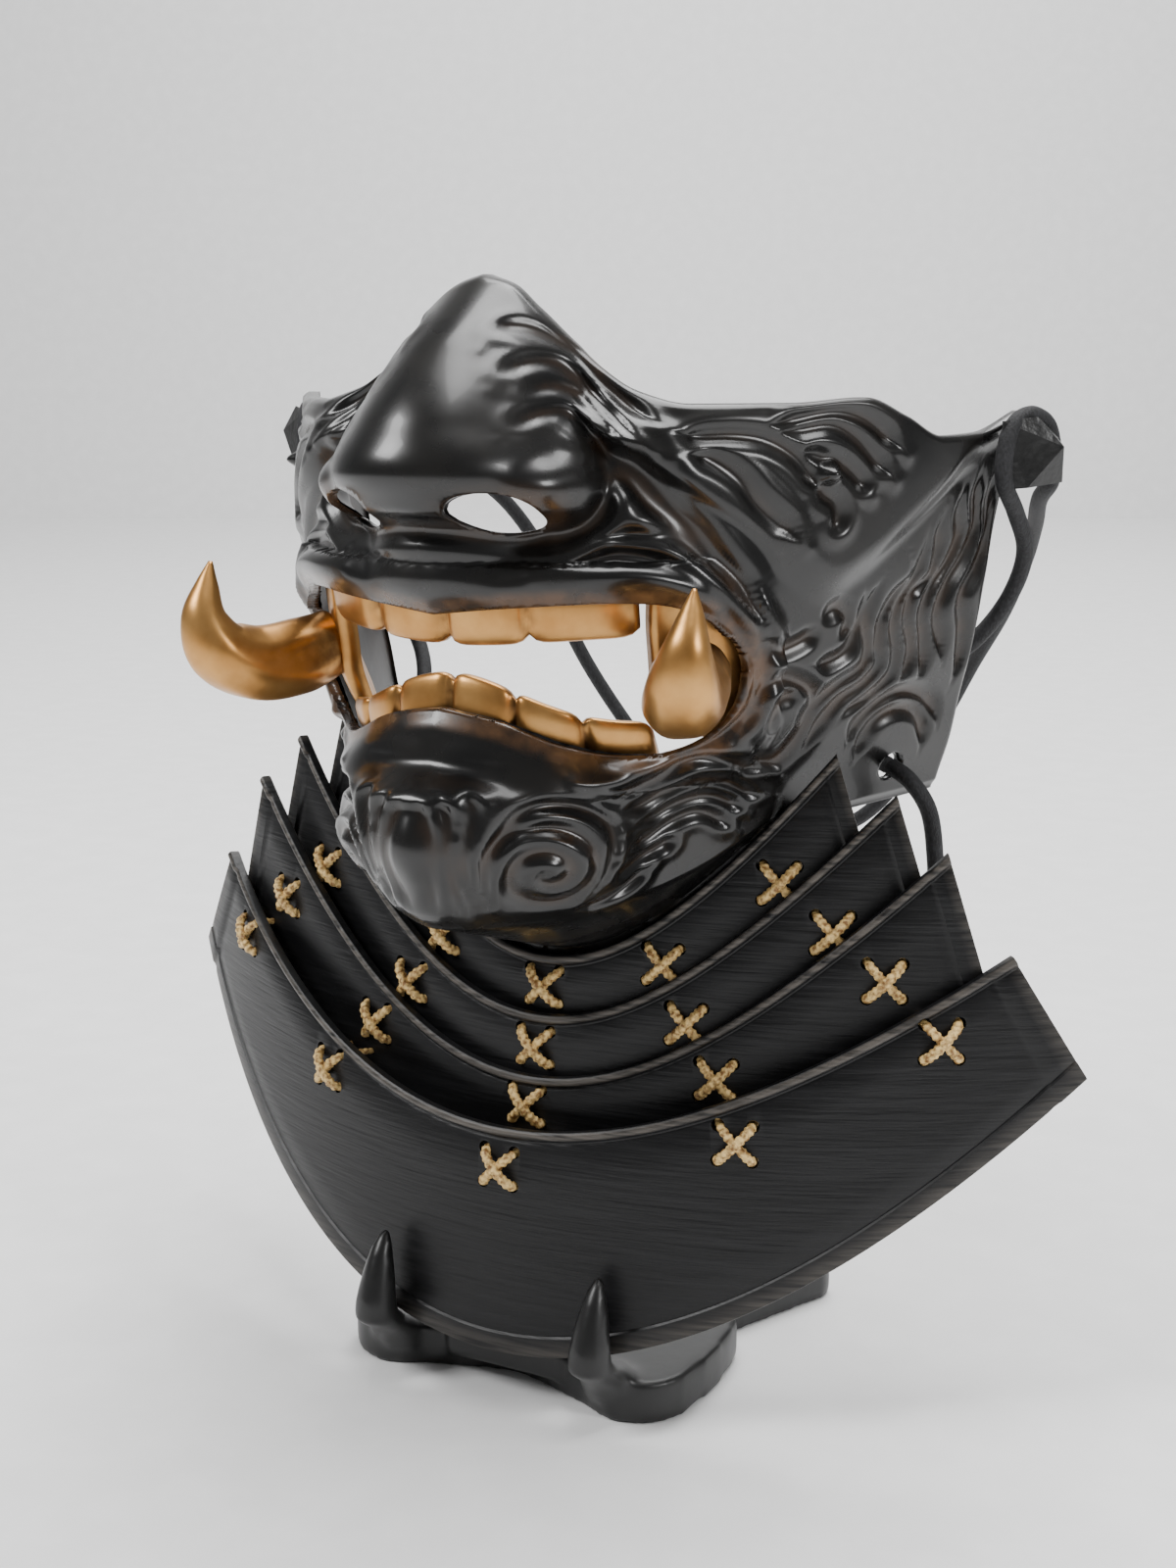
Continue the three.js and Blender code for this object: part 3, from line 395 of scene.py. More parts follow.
MUZZLE_LINES = (
    ((25, 198), (35, 201.5), (45, 201.5), (55, 198), (63, 192), (69, 184), (72, 175), (71.5, 167), (68, 160),
     (61, 154.5)),
    ((22, 193.8), (30, 196.2), (38, 197.5), (48, 196), (56, 192), (62.5, 185), (66.5, 177), (67, 169),
     (64, 162), (58, 157)),
)
NOSE_LINES = (
    ((29, 219.5), (32.3, 214), (33.5, 209), (32, 204.5), (28, 201.8), (22, 201), (14, 201.5), (7, 202.5),
     (0, 203)),
)
HAIR_LINES = (
    ((100, 189), (101, 183), (99, 178), (97, 174), (92, 172), (86, 172)),
    ((106, 191), (103, 186), (102, 180), (104, 174), (103, 170), (97, 167), (90, 163), (84, 157),
     (79, 151)),
    ((112, 196), (114, 190), (110, 185), (107, 180), (107, 174), (108, 170), (104, 166), (97, 163),
     (91, 158), (86, 153), (80, 148)),
    ((117, 202), (117, 195), (116, 189), (112, 184), (111, 179), (113, 173), (113, 168), (107, 163),
     (99, 160), (93, 155)),
    ((122, 207), (121, 200), (122, 194), (121, 189), (116, 186), (115, 180), (118, 173), (117, 167),
     (111, 161)),
    ((127, 212), (126, 204), (128, 198), (126, 192), (122, 187), (120, 181), (122, 174), (123, 168),
     (120, 162)),
    ((131, 216), (131, 208), (133, 200), (131, 193), (127, 187), (125, 180), (128, 173), (130, 166)),
    ((136, 216), (136, 207), (138, 198), (136, 190), (133, 183), (135, 176), (136, 168), (134, 161)),
    ((98, 149), (101, 154.5), (105, 158), (111, 161.5), (118, 163), (126, 161), (131, 157), (133, 151)),
    ((101, 146), (104, 151.5), (109, 156.5), (117, 158.8), (124, 157), (127.5, 152), (127, 146)),
    ((69, 158), (70, 165), (76, 169.5), (84, 168.5), (89, 165), (87, 159), (82, 153.5), (76, 150), (70, 152),
     (68.5, 157)),
    ((74, 157), (78, 164), (85, 166)),
    ((71, 182), (76, 176), (83, 177), (88, 180)),
    ((88, 181), (93, 184), (97, 181), (94, 176)),
)
JAW_LINES = (
    ((28, 150.5), (38, 147.5), (47, 150), (54, 153), (62, 152), (70, 149), (77, 146.5)),
    ((33, 143.5), (40, 142.5), (48, 145.5), (56, 148), (63, 146), (69, 142.5), (75, 141)),
    ((36, 138.3), (44, 139.5), (52, 142.5), (58, 143), (64, 140.5), (69, 137.5)),
    ((33, 133.5), (41, 134.5), (48, 137.5), (55, 139.3), (61, 137), (66, 133)),
    ((31, 128), (38, 129.5), (45, 132), (51, 134)),
)
CHIN_LINES = (
    ((0.6, 148), (1.5, 144), (2.2, 138), (1.5, 130), (0.6, 121)),
    ((4, 149), (5, 144.5), (4.2, 138), (4.6, 129), (6, 121)),
    ((9, 150), (9.3, 146.5), (7.5, 141), (6.2, 134), (7.5, 126)),
    ((10, 124), (9.5, 132), (12.5, 140), (19, 145.8), (27, 145), (32.5, 139.5), (31.5, 131), (28, 124)),
    ((26, 121), (36, 123.5), (44, 128.5)),
)
KNOB = {"around": 81.5, "z": 213.5, "radius": 3.4, "rise": 2.6}  # on the cheek
DEEPEST = 2.0  # carving, in a wall of 2.6
SWIRL = {"around": 20, "z": 131.5, "outer": 11.8, "turns": 2.1}


REACH = 8  # how far from a line its distance is worked out


def nearest(around, z, lines, steps=6, taper=3.2):
    """Distance from each point to the nearest of the curves, growing by taper at a curve's ends."""
    best = np.full(around.shape, 99.0)
    for line in lines:
        curve = rounded(line, steps)
        centre = (curve.min(0) + curve.max(0)) / 2
        reach = np.ptp(curve, axis=0) / 2 + REACH
        box = (np.abs(around - centre[0]) < reach[0]) & (np.abs(z - centre[1]) < reach[1])
        a, h = around[box], z[box]
        found = best[box]
        last = len(curve) - 1
        for k, (p, q) in enumerate(zip(curve[:-1], curve[1:])):
            run = q - p
            t = np.clip(((a - p[0]) * run[0] + (h - p[1]) * run[1]) / (run @ run), 0, 1)
            from_end = np.minimum(k + t, last - k - t) / last
            away = np.hypot(a - p[0] - t * run[0], h - p[1] - t * run[1])
            found = np.minimum(found, away + taper * (1 - smooth(from_end / 0.22)))
        best[box] = found
    return best


def groove(distance, depth, half):
    """A carved groove with a soft shoulder on each side."""
    valley = np.exp(-((distance / half) ** 2))
    shoulder = np.exp(-(((distance - 2 * half) / half) ** 2))
    return -depth * valley + 0.35 * depth * shoulder


def strands(distance, depth, half):
    """Rounded locks with sharp valleys on the lines between them."""
    t = np.clip(distance / half, 0, 1)
    return -depth * (1 - t) ** 1.6


def swirl_line():
    turn = np.linspace(0, 2 * math.pi * SWIRL["turns"], 40)
    radius = lerp(1.1, SWIRL["outer"], turn / turn[-1])
    return np.stack([SWIRL["around"] - radius * np.cos(turn), SWIRL["z"] - radius * np.sin(turn)], -1)


def carving(around, z):
    """Relief over the mask's main form, and how much bronze dust lies in it."""
    s = np.abs(around)
    relief = groove(nearest(s, z, WRINKLES), 1.9, 1.35)
    furrow = nearest(s, z, [FURROW])
    relief += groove(furrow, 3.2, 2.5)
    relief += 2.2 * bell((furrow - 6) / 6) * smooth((z - along(FOLD, s)) / 3)
    relief += groove(nearest(s, z, CHEEK_LINES), 1.6, 1.7)
    relief += groove(nearest(s, z, MUZZLE_LINES), 1.2, 1.6)
    relief += groove(nearest(s, z, NOSE_LINES, taper=0), 1.9, 2.1)
    relief += strands(nearest(s, z, HAIR_LINES), 3.2, 3.6)
    relief += groove(nearest(s, z, JAW_LINES), 1.7, 1.5)
    relief += groove(nearest(s, z, CHIN_LINES, taper=1.6), 1.7, 1.3) * smooth((152 - z) / 5)
    relief += strands(nearest(s, z, [swirl_line()[::2]], 4, 1), 2.5, 2.9)
    relief += KNOB["rise"] * bell(np.hypot(s - KNOB["around"], z - KNOB["z"]) / KNOB["radius"])
    relief = np.where(relief < 0, -DEEPEST * np.tanh(-relief / DEEPEST), relief)
    lips = nearest(s, z, [LIPS], 3, 0)
    dust = np.clip(-relief / 2.4 - 0.3, 0, 1) * 0.5
    dust = np.maximum(dust, 0.85 * smooth((4.2 - lips) / 2.5))
    dust = np.maximum(dust, 0.6 * bell(np.hypot((s - 17) / 14, (z - 206.6) / 8)))
    return relief, dust, lips


CHEEK_RISE = 3.2
WING = {"around": 24.5, "z": 211, "across": 10, "tall": 9, "rise": 5}  # the side of the nose
CHIN_LOBE = {"around": 27, "z": 132, "radius": 15, "rise": 5}
LIP = {"rise": 3, "from_edge": 5, "half": 7}


def main_rise(around, z, lips):
    s = np.abs(around)
    rows = np.array(MIDLINE, float)
    across = np.minimum(1, s / along(rows[:, [0, 2]], z))
    middle = (section(z)[0] - along(rows[:, [0, 1]], z)) * (1 - across ** 2.2) ** 1.6
    cheek = CHEEK_RISE * smooth((z - along(FOLD, s)) / 10) * smooth((s - 30) / 14)
    from_wing = np.hypot((s - WING["around"]) / WING["across"], (z - WING["z"]) / WING["tall"])
    wing = WING["rise"] * bell(from_wing)
    from_lobe = np.hypot(s - CHIN_LOBE["around"], z - CHIN_LOBE["z"])
    lobe = CHIN_LOBE["rise"] * bell(from_lobe / CHIN_LOBE["radius"])
    return middle + cheek + wing + lobe + LIP["rise"] * bell((lips - LIP["from_edge"]) / LIP["half"])


# A lame's face is y = front_y + curve x^2 + lean (z - mid_z). Its top and bottom edges are given as
# height, rise and round, for height + rise (hypot(x, round) - round), and the half width in x.
LAMES = (
    {"front_y": -14, "curve": 0.003, "lean": 0.05, "mid_z": 92.2, "top": (99.7, 1.7, 57, 65.8),
     "bottom": (70, 1.15, 95, 80), "cross_x": (0, 29.5, 54.9), "cross_curve": 0.0096},
    {"front_y": -18.45, "curve": 0.00288, "lean": 0.05, "mid_z": 78.6, "top": (86.5, 1.5, 66.5, 79.8),
     "bottom": (57, 1.1, 110, 94), "cross_x": (0, 37, 68), "cross_curve": 0.00705},
    {"front_y": -22.75, "curve": 0.00265, "lean": 0.05, "mid_z": 65.5, "top": (72.7, 1.45, 85.5, 92),
     "bottom": (43, 1.05, 125, 106), "cross_x": (0, 45.8, 80.6), "cross_curve": 0.0056},
    {"front_y": -35.9, "curve": 0.00326, "lean": 0.114, "mid_z": 54.7, "top": (64.1, 1.25, 141, 106.1),
     "bottom": (11.3, 3.8, 400, 121.7), "cross_x": (0, 54.4, 94), "cross_curve": 0.00398},
)
LAME_WALL = 1.8


def lame_y(lame, x, z):
    return lame["front_y"] + lame["curve"] * x * x + lame["lean"] * (z - lame["mid_z"])


def edge_z(lame, edge, x):
    height, rise, round_, _ = lame[edge]
    return height + rise * (np.hypot(x, round_) - round_)


def chin_rows(edge, normals):
    """The floor under the chin and the apron behind the first lame, from the mask's lower edge."""
    first = LAMES[0]
    x = edge[:, 0]
    near = (1 - smooth((np.abs(x) - 58.5) / 5))[:, None]
    rim = edge_z(first, "top", x)
    border = along(BOTTOM_EDGE, np.abs(x))
    crest = np.stack([x, lame_y(first, x, rim) + LAME_WALL + 0.7, np.minimum(rim + 1.4, border)], -1)
    high = np.minimum(rim, border) - 2.4
    low = np.minimum(first["mid_z"] + first["cross_curve"] * x * x - 8, high - 4)
    apron = [np.stack([x, lame_y(first, x, z) + LAME_WALL + 1.6, z], -1) for z in (high, low)]
    targets = [lerp(edge, crest, 0.5), crest, *apron]
    rows = [edge]
    for (drop, depth), target in zip(((0.6, 0.5), (1.2, 1), (1.8, 1.4), (2.4, 1.6)), targets):
        plain = edge - normals * depth - np.array((0, 0, drop))
        goal = lerp(plain, target, near)
        rows += [lerp(rows[-1], goal, 0.5), goal]
    return rows[1:][::-1]


NOSTRIL = {"x": 17, "z": 206.6, "across": 8.3, "tall": 4.4}
CORD_HOLE = {"share": 0.9, "z": 144.6, "radius": 3.4}
NEAR_HOLE = 15


def snap_to_line(points, outline):
    """Nearest points of a closed outline in the x z plane."""
    best = np.full(len(points), 1e9)
    out = points.copy()
    for p, q in zip(outline, np.roll(outline, -1, axis=0)):
        run = q - p
        t = np.clip(((points - p) @ run) / (run @ run), 0, 1)
        spot = p + t[:, None] * run
        away = np.linalg.norm(points - spot, axis=1)
        closer = away < best
        best[closer] = away[closer]
        out[closer] = spot[closer]
    return out


def inside(points, outline):
    x, z = points[..., 0], points[..., 1]
    odd = np.zeros(x.shape, bool)
    for (x0, z0), (x1, z1) in zip(outline, np.roll(outline, -1, axis=0)):
        if z0 != z1:
            odd ^= ((z0 > z) != (z1 > z)) & (x < (x1 - x0) * (z - z0) / (z1 - z0) + x0)
    return odd


def off_axis(points, centre, axis):
    """The part of each point's offset from centre that is square to the axis."""
    away = points - centre
    return away - (away @ axis)[:, None] * axis


def skin(name, columns, rows, offset, carved, finish):
    """One side of the mask's wall as a fine grid, open at the mouth, nostrils and cord holes."""
    line = np.linspace(-HALF_AROUND, HALF_AROUND, columns)
    t = np.linspace(0, 1, rows)
    around = np.broadcast_to(line, (rows, columns)).copy()
    low = along(BOTTOM, np.abs(line))
    high = along(TOP, np.abs(line))
    z = low + (high - low) * t[:, None]
    relief, dust, lips = carving(around, z)
    share = share_at(around)
    edge = np.minimum(high - z, HALF_AROUND - np.abs(around))
    soft_edge = -1.1 * (1 - np.clip(edge / 1.3, 0, 1)) ** 2
    rise = main_rise(around, z, lips) + offset
    if carved:
        rise = rise + relief * smooth(np.minimum(edge, lips) / 2.5) + soft_edge
    n = base_normal(share, z)
    points = base_point(share, z) + n * rise[..., None]
    inward = n
    if carved:
        extra = chin_rows(points[0], n[0])
        inward = np.concatenate([np.broadcast_to(n[0], (len(extra), columns, 3)), n])
        points = np.concatenate([np.array(extra), points])
        dust = np.concatenate([np.zeros((len(extra), columns)), dust])
    count = len(points)
    normal = unit(np.cross(np.gradient(points, axis=1), np.gradient(points, axis=0)))
    corner = (np.arange(count - 1)[:, None] * columns + np.arange(columns - 1)).ravel()
    quads = np.stack([corner, corner + 1, corner + columns + 1, corner + columns], -1)
    flat = points.reshape(-1, 3)
    middle = flat[quads].mean(1)
    outlines = [np.vstack([rounded(MOUTH, 4), rounded(MOUTH, 4)[1:-1][::-1] * (-1, 1)])]
    turn = np.linspace(0, 2 * math.pi, 48, endpoint=False)
    for side in (-1, 1):
        outlines.append(np.stack([side * NOSTRIL["x"] + NOSTRIL["across"] * np.cos(turn),
                                  NOSTRIL["z"] + NOSTRIL["tall"] * np.sin(turn)], -1))
    for outline in outlines:
        gone = inside(middle[:, [0, 2]], outline) & (middle[:, 1] < 0)
        border = np.intersect1d(quads[gone], quads[~gone])
        moved = snap_to_line(flat[border][:, [0, 2]], outline) - flat[border][:, [0, 2]]
        slope = normal.reshape(-1, 3)[border]
        tilt = (moved * slope[:, [0, 2]]).sum(1) / np.minimum(slope[:, 1], -0.35)
        flat[border] += np.stack([moved[:, 0], -np.clip(tilt, -1.5, 1.5), moved[:, 1]], -1)
        quads, middle = quads[~gone], middle[~gone]
    for side in (-1, 1):
        share_hole = np.array(side * CORD_HOLE["share"])
        z_hole = np.array(CORD_HOLE["z"])
        centre, axis = base_point(share_hole, z_hole), base_normal(share_hole, z_hole)
        gone = np.linalg.norm(off_axis(middle, centre, axis), axis=1) < CORD_HOLE["radius"]
        gone &= np.linalg.norm(middle - centre, axis=1) < NEAR_HOLE
        border = np.intersect1d(quads[gone], quads[~gone])
        arm = off_axis(flat[border], centre, axis)
        far = np.linalg.norm(arm, axis=1, keepdims=True)
        flat[border] += arm * (CORD_HOLE["radius"] / far - 1)
        quads, middle = quads[~gone], middle[~gone]
    faces = [quads]
    if carved:
        starts = quads.ravel()
        ends = np.roll(quads, -1, axis=1).ravel()
        size = len(flat)
        open_edge = ~np.isin(starts * size + ends, ends * size + starts)
        u, v = starts[open_edge], ends[open_edge]
        rim, place = np.unique(np.concatenate([u, v]), return_inverse=True)
        pu, pv = place[:len(u)] + size, place[len(u):] + size
        flat = np.vstack([flat, flat[rim] - inward.reshape(-1, 3)[rim] * WALL])
        dust = np.concatenate([dust.ravel(), dust.ravel()[rim]])
        faces.append(np.stack([v, u, pu, pv], -1))
    else:
        faces = [quads[:, ::-1]]
    used, packed = np.unique(np.vstack(faces), return_inverse=True)
    made = mesh_object(name, flat[used], packed.reshape(-1, 4), dust=dust.ravel()[used])
    made.data.materials.append(finish)
    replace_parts(made, "face_shell")
    return made


skin("mask_skin", 370, 232, 0, True, LACQUER)
skin("mask_lining", 150, 90, -WALL - 0.25, False, LINING)

# ---------------------------------------------------------------- teeth and tusks

GAP = 0.3
UPPER = {"edges": (0, 19.5, 41), "gum": (191, 191), "bite": (178, 180), "deep": 5}
LOWER = {"edges": (0, 15.5, 29.5, 41), "gum": (157, 152.5), "bite": (172, 161.5), "deep": 5}
TUSK = (  # x, y, z, radius
    (46.5, -32, 173, 7.5), (49.5, -42, 170.5, 8.6), (53.5, -52, 170, 8.3), (57, -59, 174, 7.4),
    (58.8, -61.5, 181, 5.2), (59, -60, 188, 2.7), (58.9, -58.5, 193.2, 0.5),
)
ROOT = {"from_x": 42.4, "to_x": 57.5, "low": 157, "high": 190, "deep": 5}


def behind_lip(x, z, behind):
    share = x / section(z)[1]
    return base_point(share, z) + base_normal(share, z) * (-WALL - GAP - behind)[..., None]


def teeth(name, row, node):
    """A row of rounded teeth on one gum, notched between them."""
    edges = [*[-x for x in row["edges"][:0:-1]], *row["edges"]]
    up = 1 if row["bite"][0] > row["gum"][0] else -1
    turn = np.linspace(0, 1, 26)
    rings = []
    painted_shade = []
    for start, stop in zip(edges[:-1], edges[1:]):
        for u in np.linspace(-1, 1, 15)[: 15 if stop == edges[-1] else 14]:
            x = lerp(start, stop, (u + 1) / 2)
            notch = abs(u) ** 7
            out = float(smooth(abs(x) / edges[-1]))
            gum = lerp(*row["gum"], out)
            tip = lerp(*row["bite"], out) - up * notch * 1.8
            angle = 2 * math.pi * turn[:-1]
            level = np.clip(0.5 - 0.5 * np.sign(np.cos(angle)) * np.abs(np.cos(angle)) ** 0.5, 0, 1)
            depth = 0.5 + 0.5 * np.sign(np.sin(angle)) * np.abs(np.sin(angle)) ** 0.55
            z = lerp(gum, tip, level)
            swell = 0.5 + notch * 1.5 - 1.1 * bell((level - 0.45) / 0.7) * (1 - notch)
            depth_mm = swell + depth * (row["deep"] - 1.2 - notch)
            ring = behind_lip(np.full(25, x), z, depth_mm)
            rings.append(ring if up > 0 else ring[::-1])
            # painted shade: the gold darkens between the teeth and along the gum line under the lip
            painted_light = np.clip(notch + 0.7 * np.clip(0.3 - level, 0, 1) * 3, 0, 1)
            painted_shade.append(painted_light if up > 0 else painted_light[::-1])
    made = mesh_object(name, np.vstack(rings), loft_faces(len(rings), 25), dust=np.concatenate(painted_shade))
    made.data.materials.append(GOLD)
    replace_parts(made, node)


teeth("teeth_above", UPPER, "upper_teeth")
teeth("teeth_below", LOWER, "lower_teeth")


def ring_frames(path, reference):
    run = unit(np.gradient(path, axis=0))
    first = unit(reference - (run @ reference)[:, None] * run)
    return first, np.cross(run, first)


def tusk(name, side, node):
    """A fluted horn out of the corner of the mouth, with the gum plate that carries it."""
    sides = 40
    table = np.array(TUSK, float)
    path = rounded(table[:, :3], 9)
    step = np.linspace(0, len(TUSK) - 1, len(path))
    radius = along(np.stack([np.arange(len(TUSK)), table[:, 3]], -1), step)
    first, second = ring_frames(path, np.array((1.0, 0, 0)))
    angle = np.linspace(0, 2 * math.pi, sides, endpoint=False)
    fade = np.clip(1 - step / (len(TUSK) - 1), 0, 1)[:, None]
    flute = 1 + fade * (0.05 * np.cos(3 * angle + 0.5 * step[:, None]) + 0.02 * np.cos(7 * angle + 1))
    reach = radius[:, None] * flute
    points = (path[:, None] + first[:, None] * (reach * np.cos(angle))[..., None]
              + second[:, None] * (reach * np.sin(angle))[..., None])
    count = len(path)
    faces = loft_faces(count, sides)
    # painted shade: the horn darkens toward its root inside the mouth and in its flutes
    painted_shade = np.clip(0.9 - step / 1.6, 0, 1)[:, None] + 0.25 * np.clip(1 - flute, 0, 1) * 8
    v, u = np.meshgrid(np.linspace(0, 1, 30), np.linspace(0, 1, 16), indexing="ij")
    inset = 3 * np.abs(2 * v - 1) ** 3
    x = lerp(ROOT["from_x"] + inset * 0.3, ROOT["to_x"] - inset, u)
    z = lerp(ROOT["low"], ROOT["high"], v)
    crown = 0.8 * (1 - (2 * u - 1) ** 6) * (1 - (2 * v - 1) ** 6)
    front = behind_lip(x, z, 0.8 - crown).reshape(-1, 3)
    back = behind_lip(x, z, np.full_like(x, ROOT["deep"])).reshape(-1, 3)
    plate = np.concatenate([front, back])
    start = count * sides
    half = v.size
    for i in range(29):
        for j in range(15):
            a = start + i * 16 + j
            faces.append((a, a + 1, a + 17, a + 16))
            faces.append((a + half, a + half + 16, a + half + 17, a + half + 1))
    loop = [*range(16), *[i * 16 + 15 for i in range(1, 30)], *[29 * 16 + j for j in range(14, -1, -1)],
            *[i * 16 for i in range(28, 0, -1)]]
    for a, b in zip(loop, loop[1:] + loop[:1]):
        faces.append((start + b, start + a, start + half + a, start + half + b))
    flat = np.vstack([points.reshape(-1, 3), plate])
    if side < 0:
        flat = flat * (-1, 1, 1)
        faces = [f[::-1] for f in faces]
    # painted shade on the horn; the gum plate gets an even bronze tint
    dust = np.concatenate([np.clip(painted_shade * np.ones(sides), 0, 1).ravel(), np.full(2 * half, 0.25)])
    made = mesh_object(name, flat, faces, dust=dust)
    made.data.materials.append(GOLD)
    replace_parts(made, node)


tusk("horn_right", 1, "tusk_right")
tusk("horn_left", -1, "tusk_left")

# ---------------------------------------------------------------- lames and lacing


def lame_frame(lame, x, z):
    out = unit(np.array((2 * lame["curve"] * x, -1, lame["lean"])))
    side = unit(np.array((1, 2 * lame["curve"] * x, 0)))
    up = -np.cross(side, out)
    up = up if up[2] > 0 else -up
    return np.array((x, lame_y(lame, x, z), z)), out, side, up


def cross_frames(lame):
    xs = [-x for x in lame["cross_x"][:0:-1]] + list(lame["cross_x"])
    return [lame_frame(lame, x, lame["mid_z"] + lame["cross_curve"] * x * x) for x in xs]


CROSS = {"side": 3.9, "up": 4, "radius": 1.08, "tie": 0.55, "hole": 1.5, "low": 1.1, "high": 2.9}
# A lame's outline from its top edge down its face and up its back: share of its height, mm, mm out.
LAME_PROFILE = (
    (0, 0, 0), (0, 0.1, 0.5), (0, 0.5, 0.85), (0, 1.05, 1.0), (0, 1.6, 0.85), (0, 2.1, 0.4), (0, 2.5, -0.15),
    (0, 2.9, -0.25), (0, 3.4, 0), (0.25, 0, 0), (0.5, 0, 0), (0.75, 0, 0), (1, -5.4, 0), (1, -5, -0.2),
    (1, -4.5, 0.25), (1, -1, 0.3), (1, -0.2, 0.1), (1, 0, -0.4), (1, 0, -1.3), (1, -0.5, -1.8),
    (0.5, 0, -1.8), (0, 0.5, -1.8), (0, 0, -1.3),
)


def lame_piece(k):
    lame = LAMES[k]
    ends = np.array((0, 0.02, 0.036, 0.04, 0.046, 0.055))
    shares = np.concatenate([-1 + ends, np.linspace(-0.93, 0.93, 75), (1 - ends)[::-1]])
    rings = []
    painted_light = []
    for share in shares:
        top_x, low_x = share * lame["top"][3], share * lame["bottom"][3]
        top = np.array((top_x, edge_z(lame, "top", top_x)))
        low = np.array((low_x, edge_z(lame, "bottom", low_x)))
        tall = np.linalg.norm(top - low)
        gap = 1 - abs(share)
        step = 0.3 * smooth((0.041 - gap) / 0.005) - 0.25 * bell((gap - 0.046) / 0.01)
        ring = []
        for part, mm, out in LAME_PROFILE:
            x, z = lerp(top, low, np.clip(part + mm / tall, 0, 1))
            at, face, _, _ = lame_frame(lame, x, z)
            ring.append(at + face * (out + (step if out > -1 and mm < 90 else 0)))
            # painted highlight: the rounded top rim, the ends and the bottom edge of each lame are lightened
            # in colour
            rim = 0.75 if part == 0 and 0.4 < mm < 1.8 else 0
            rim = max(rim, 0.45 if gap < 0.01 else 0)
            rim = max(rim, 0.4 if part == 1 and -1.1 < mm <= 0 else 0)
            painted_light.append(rim)
        rings.append(ring)
    sides = len(LAME_PROFILE)
    made = mesh_object(f"plate_{k + 1}", np.vstack(rings), loft_faces(len(rings), sides), wear=painted_light)
    made.data.materials.append(SATIN)
    face_outwards(made)
    pins = []
    pin_faces = []
    for at, out, side, up in cross_frames(lame):
        for s, u in ((-1, -1), (1, 1), (1, -1), (-1, 1)):
            centre = at + side * s * CROSS["side"] + up * u * CROSS["up"]
            angle = np.linspace(0, 2 * math.pi, 24, endpoint=False)[:, None]
            ring = CROSS["hole"] * (side * np.cos(angle) + up * np.sin(angle))
            start = len(pins) * 24
            pins += [centre + ring + out * 4, centre + ring - out * 4]
            pin_faces += [tuple(start + i for i in f) for f in loft_faces(2, 24)]
    cutter = mesh_object(f"cutter_{k + 1}", np.vstack(pins), pin_faces)
    face_outwards(cutter)
    drill = made.modifiers.new("holes", "BOOLEAN")
    drill.operation = "DIFFERENCE"
    drill.solver = "EXACT"
    drill.object = cutter
    applied(made)
    bpy.data.objects.remove(cutter)
    made.data.set_sharp_from_angle(angle=math.radians(35))
    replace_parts(made, f"lame_{k + 1}")


def signed_volume(made):
    count = len(made.data.vertices)
    spots = np.empty(count * 3)
    made.data.vertices.foreach_get("co", spots)
    spots = spots.reshape(-1, 3)
    made.data.calc_loop_triangles()
    tris = np.empty(len(made.data.loop_triangles) * 3, int)
    made.data.loop_triangles.foreach_get("vertices", tris)
    a, b, c = spots[tris.reshape(-1, 3)].transpose(1, 0, 2)
    return float((a * np.cross(b, c)).sum())


def face_outwards(made):
    if signed_volume(made) < 0:
        made.data.flip_normals()


def tie_depth(k, spot, out):
    """How far behind a lame's face a cross is tied, just behind the plate it hangs from."""
    def behind(depth):
        p = spot - out * depth
        plate = lame_y(LAMES[k - 1], p[0], p[2]) if k else lame_y(LAMES[0], p[0], p[2]) + LAME_WALL + 1.6
        return plate - p[1]
    trial = 5
    depth = behind(0) * trial / (behind(0) - behind(trial))
    return depth + (LAME_WALL if k else WALL) + 3 * GAP + CROSS["tie"]


